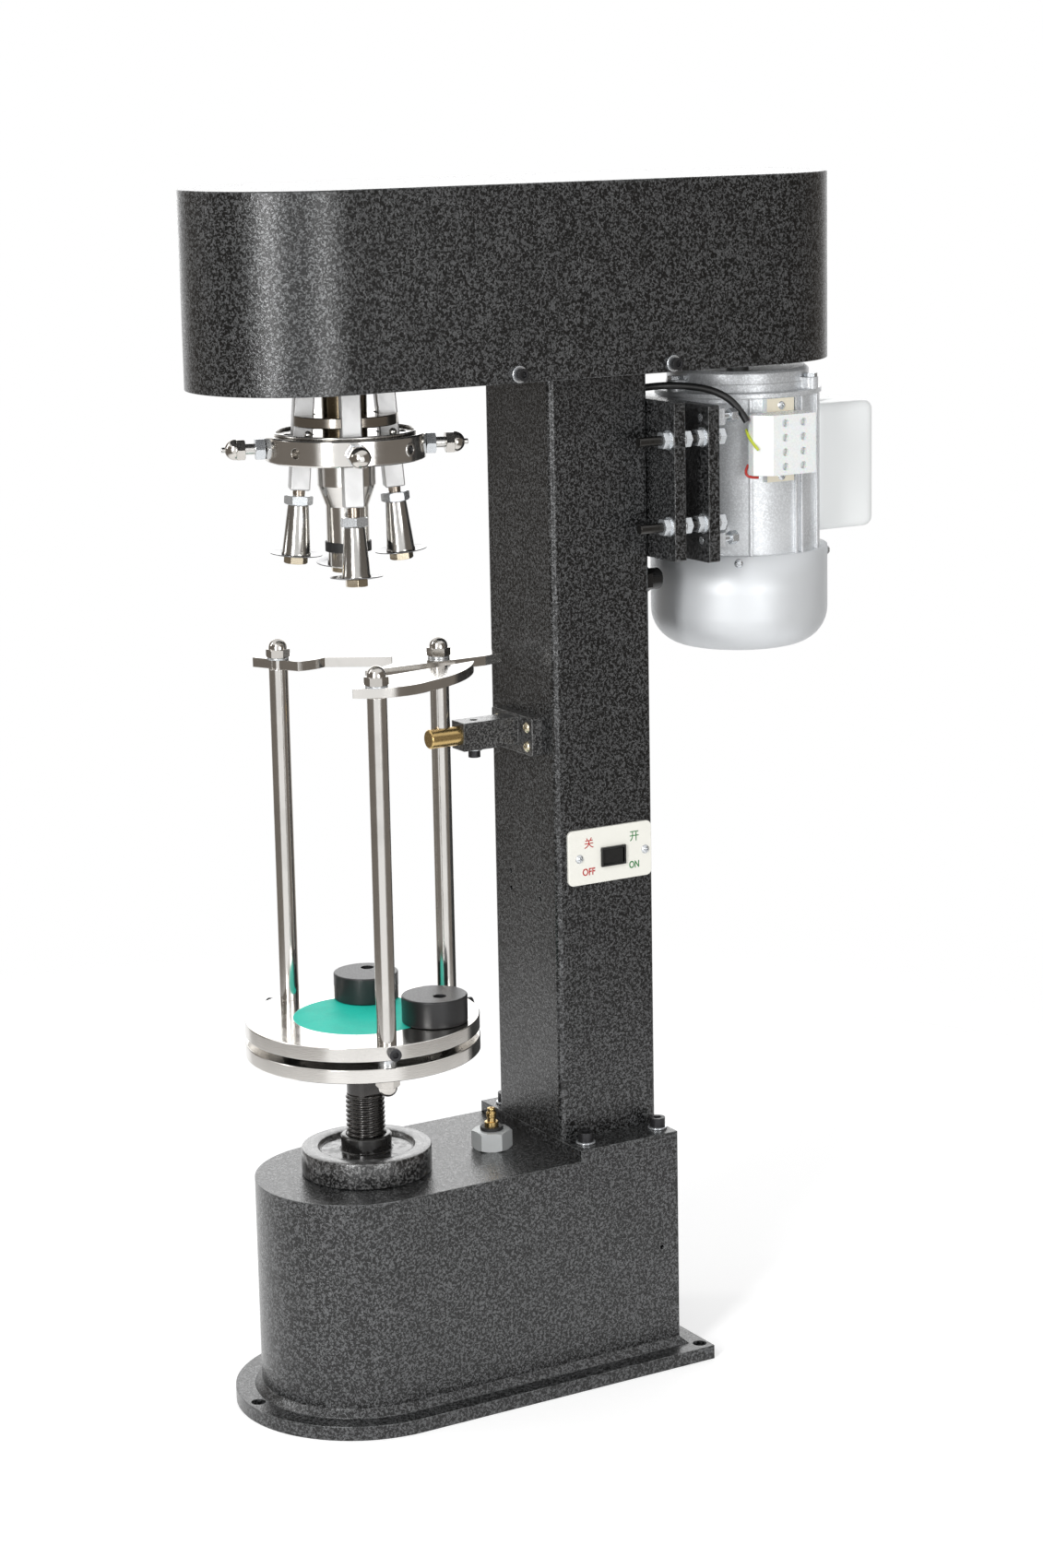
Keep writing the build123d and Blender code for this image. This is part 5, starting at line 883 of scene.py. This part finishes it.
class CAPPING_OT_motor(bpy.types.Operator):
    """Finish the motor, build its cowl and box, and dress its terminal block"""

    bl_idname = "capping.motor"
    bl_label = "Motor"

    def execute(self, context):
        wire_r = context.scene.machine_sizes.wire_r
        paint_nodes("Motor cast", "motor_frame", "motor_feet", "motor_end_shield")
        self.cowl()
        self.box()
        paint_nodes("Rotor steel", "motor_shaft")
        paint_nodes("Terminal block", "terminal_block")
        paint_nodes("Black plastic", "cable_gland")
        bm = bmesh.new()
        for low, high in ((745.4, 753.9), (804.1, 815.1)):
            add_block(bm, (0.6, 27.3, high - low), (73, 369.5, (low + high) / 2))
        tabs = bevel(close_mesh("terminal_saddle_faces", bm), 0.2)
        fit(tabs, "Terminal saddle", "frame", "clear_plastic")
        earth_route = ((74.5, 334, 791), (79, 331.6, 789), (85, 331.4, 783), (92, 334, 776))
        live_route = ((74.5, 336, 762), (74, 332.6, 757), (78, 333.5, 751.6), (82, 341, 751.8))
        cable_r = 3.0 * mm
        cable = self.line("motor_cable_line", cable_r, cable_route)
        fit(cable, "Cable sheath", "frame", "black_rubber", "motor_cable")
        fit(self.line("earth_wire", wire_r, earth_route), "Earth wire", "frame", "clear_plastic")
        fit(self.line("live_wire", wire_r, live_route), "Red wire", "frame", "clear_plastic")
        return {"FINISHED"}

    def line(self, name, radius, route):
        """Cable or wire along one smooth spline."""
        curve = bpy.data.curves.new(name, "CURVE")
        curve.dimensions = "3D"
        curve.bevel_depth, curve.bevel_resolution = radius, 4
        curve.use_fill_caps = True
        spline = curve.splines.new("NURBS")
        spline.points.add(len(route) - 1)
        for point, place in zip(spline.points, route):
            point.co = (*(Vector(place) * mm), 1)
        spline.order_u = 3
        spline.use_endpoint_u = True
        return link_object(name, curve)

    def cowl(self):
        """Fan cowl, a bowl with a rounded floor and rings of air holes."""
        outer, wall, rounding, foot, top = 76, 1.5, 31, 599.5, 683.5
        count, hole_bands, pitch, hole = 96, (1, 3, 5), 6, 2
        profile = [(r, foot) for r in (2, 13, 20, 25, 32, 37, 43)]
        for step in range(1, 11):
            turn = pi / 2 * step / 10
            profile.append((outer - rounding * (1.0 - sin(turn)), foot + rounding * (1.0 - cos(turn))))
        profile += [(outer, 650), (outer, top)]
        place = Matrix.Translation(Vector((0, 376, 0)) * mm)
        bm = bmesh.new()
        rings = [[bm.verts.new(p) for p in ring_points(r, z, count, place)] for r, z in profile]
        for band, (low, high) in enumerate(zip(rings, rings[1:])):
            for i in range(count):
                j = (i + 1) % count
                if band not in hole_bands or i % pitch < hole:
                    bm.faces.new((low[i], high[i], high[j], low[j]))
        bm.faces.new(rings[0])
        shell = close_mesh("cowl_shell", bm, 40)
        sheet = shell.modifiers.new("Sheet", "SOLIDIFY")
        sheet.thickness, sheet.offset = wall * mm, -1.0
        fit(shell, "Motor smooth", "frame", "motor_silver", "fan_cowl")

    def box(self):
        """Capacitor box with rounded edges, and its screw tabs."""
        half, front, rear, low, high = 28, 433.5, 503, 692, 801.5
        side_r, crown_r, least_r, tab_y = 13, 8, 5, 445.5
        levels = []
        for step in range(6):
            turn = pi / 2 * step / 5
            levels.append((low + crown_r * (1.0 - sin(turn)), crown_r * (1.0 - cos(turn))))
        levels.reverse()
        levels += [(low + high - z, inward) for z, inward in levels[::-1]]
        rows = []
        for z, inward in levels:
            row = []
            corner_r = max(side_r - inward, least_r)
            for sx, sy, start in ((1, 1, 0), (-1, 1, 90), (-1, -1, 180), (1, -1, 270)):
                cx = sx * (half - inward - corner_r)
                cy = (rear - inward - corner_r) if sy > 0 else (front + corner_r)
                for turn in (radians(start + 15 * step) for step in range(7)):
                    row.append(Vector((cx + corner_r * cos(turn), cy + corner_r * sin(turn), z)) * mm)
            rows.append(row)
        fit(skin_piece("capacitor_shell", rows, 40), "Box silver", "frame", "box_silver", "capacitor_box")
        bm = bmesh.new()
        for z in (low - 4, high + 4):
            add_block(bm, (18, 6, 11), (0, tab_y, z))
        fit(bevel(close_mesh("capacitor_tabs", bm), 0.8, 3), "Box silver", "frame", "box_silver")


class CAPPING_OT_stage(bpy.types.Operator):
    """Make the floor, the lamps, the room and the camera of the photograph"""

    bl_idname = "capping.stage"
    bl_label = "Stage"

    def execute(self, context):
        stage = context.scene.machine_stage
        self.camera(context)
        self.room(context, stage.sky)
        self.floor(stage.floor_radius)
        self.lamp("Key lamp", (1.55, -2.1, 1.45), (0, 0.1, 0.55), (0.5, 2), stage.key_power)
        self.lamp("Side lamp", (-1.3, -1.75, 1.75), (0, 0, 0.9), (0.5, 1.3), stage.side_power)
        self.lamp("Low lamp", (2.6, 0.1, 0.75), (0, 0.35, 0.7), (0.9, 0.9), stage.low_power)
        self.lamp("Back lamp", (-2.5, 1.3, 1.35), (0, 0.1, 0.6), (2.4, 1.3), stage.back_power)
        context.scene.view_settings.view_transform = "Standard"
        return {"FINISHED"}

    def camera(self, context):
        """Camera that matches the photograph's perspective."""
        right = Vector((cos(view_azimuth), sin(view_azimuth), 0))
        back = Vector((
            sin(view_azimuth) * cos(view_elevation),
            -cos(view_azimuth) * cos(view_elevation),
            sin(view_elevation),
        ))
        above = back.cross(right)
        side = cos(view_roll) * right + sin(view_roll) * above
        top = -sin(view_roll) * right + cos(view_roll) * above
        lens = bpy.data.cameras.new("Camera")
        lens.lens = view_lens
        lens.shift_x, lens.shift_y = view_shift
        lens.clip_end = 50.0
        camera = link_object("Camera", lens)
        turn = Matrix((side, top, back)).transposed().to_4x4()
        camera.matrix_world = Matrix.Translation(Vector(view_place)) @ turn
        context.scene.camera = camera

    def lamp(self, name, place, target, size, power):
        """Rectangular area lamp that is aimed at a point and isn't seen."""
        light = bpy.data.lights.new(name, "AREA")
        light.shape, light.energy = "RECTANGLE", power
        light.size, light.size_y = size
        obj = link_object(name, light)
        obj.location = place
        obj.visible_camera = False
        obj.rotation_euler = (Vector(target) - Vector(place)).to_track_quat("-Z", "Y").to_euler()

    def room(self, context, sky):
        """White room whose sides are warm grey where metal mirrors them."""
        white, warm_grey = grey(1), (0.20, 0.18, 0.16)
        world = bpy.data.worlds.new("Studio")
        tree = empty_tree(world)
        way = add_node(tree, "TexCoord").outputs["Generated"]
        ray = add_node(tree, "LightPath")
        parts = add_node(tree, "SeparateXYZ", {0: way})
        along = multiply(tree, parts.outputs[0], cos(view_plan))
        beside = multiply(tree, parts.outputs[1], sin(view_plan))
        toward = calculate(tree, "ADD", along, beside)
        front = spread(tree, toward, 0.70, 0.84, 1, 0)
        behind = spread(tree, toward, -0.86, -0.72, 0, 1)
        high = spread(tree, parts.outputs[2], 0.45, 0.65, 1, 0)
        mirrored = multiply(tree, front, behind, high, ray.outputs["Is Glossy Ray"])
        shade = blend_colours(tree, mirrored, white, warm_grey)
        strength = spread(tree, background_ray(tree, ray), 0, 1, sky, 1)
        light = add_node(tree, "Background", {"Color": shade, "Strength": strength})
        add_node(tree, "OutputWorld", {0: light.outputs[0]})
        context.scene.world = world

    def floor(self, radius):
        """Pale round floor that fades out at its rim."""
        paper, glow_strength, drop = (0.86, 0.86, 0.86, 1), 0.4, -0.0002
        bm = bmesh.new()
        bmesh.ops.create_circle(bm, cap_ends=True, segments=128, radius=radius)
        mesh = bpy.data.meshes.new("floor")
        bm.to_mesh(mesh)
        bm.free()
        obj = link_object("floor", mesh)
        obj.location.z = drop
        material = bpy.data.materials.new("Pale floor")
        tree = empty_tree(material)
        reach = add_node(tree, "VectorMath", {0: object_place(tree)}, operation="LENGTH").outputs["Value"]
        fade = spread(tree, reach, radius * 0.45, radius * 0.98, 0, 1)
        seen = background_ray(tree, add_node(tree, "LightPath"))
        glow = add_node(tree, "Emission", {"Strength": multiply(tree, seen, glow_strength)})
        matt = add_node(tree, "BsdfDiffuse", {"Color": paper})
        lit = add_node(tree, "AddShader", {0: matt.outputs[0], 1: glow.outputs[0]})
        clear = add_node(tree, "BsdfTransparent")
        whole = add_node(tree, "MixShader", {0: fade, 1: lit.outputs[0], 2: clear.outputs[0]})
        add_node(tree, "OutputMaterial", {0: whole.outputs[0]})
        mesh.materials.append(material)


class CAPPING_PT_panel(bpy.types.Panel):
    """Capping machine steps and sizes"""

    bl_idname = "CAPPING_PT_panel"
    bl_label = "Capping Machine"
    bl_space_type = "VIEW_3D"
    bl_region_type = "UI"
    bl_category = "Capping Machine"

    def draw(self, context):
        column = self.layout.column(align=True)
        for step in steps:
            column.operator(step.bl_idname)
        for group in groups:
            box = self.layout.box()
            values = getattr(context.scene, group)
            for key in values.__annotations__:
                box.prop(values, key)


steps = (
    CAPPING_OT_castings, CAPPING_OT_fasteners, CAPPING_OT_lift, CAPPING_OT_fitting, CAPPING_OT_platform,
    CAPPING_OT_guide, CAPPING_OT_head, CAPPING_OT_arms, CAPPING_OT_rollers, CAPPING_OT_motor, CAPPING_OT_stage,
)
groups = {"machine_finish": MachineFinish, "machine_sizes": MachineSizes, "machine_stage": MachineStage}


def register():
    for group in groups.values():
        bpy.utils.register_class(group)
    for key, group in groups.items():
        setattr(bpy.types.Scene, key, bpy.props.PointerProperty(type=group))
    for step in steps:
        bpy.utils.register_class(step)
    bpy.utils.register_class(CAPPING_PT_panel)


def unregister():
    bpy.utils.unregister_class(CAPPING_PT_panel)
    for step in reversed(steps):
        bpy.utils.unregister_class(step)
    for key in groups:
        delattr(bpy.types.Scene, key)
    for group in groups.values():
        bpy.utils.unregister_class(group)


def main():
    register()
    for step in steps:
        family, name = step.bl_idname.split(".")
        getattr(getattr(bpy.ops, family), name)()


if __name__ == "__main__":
    main()
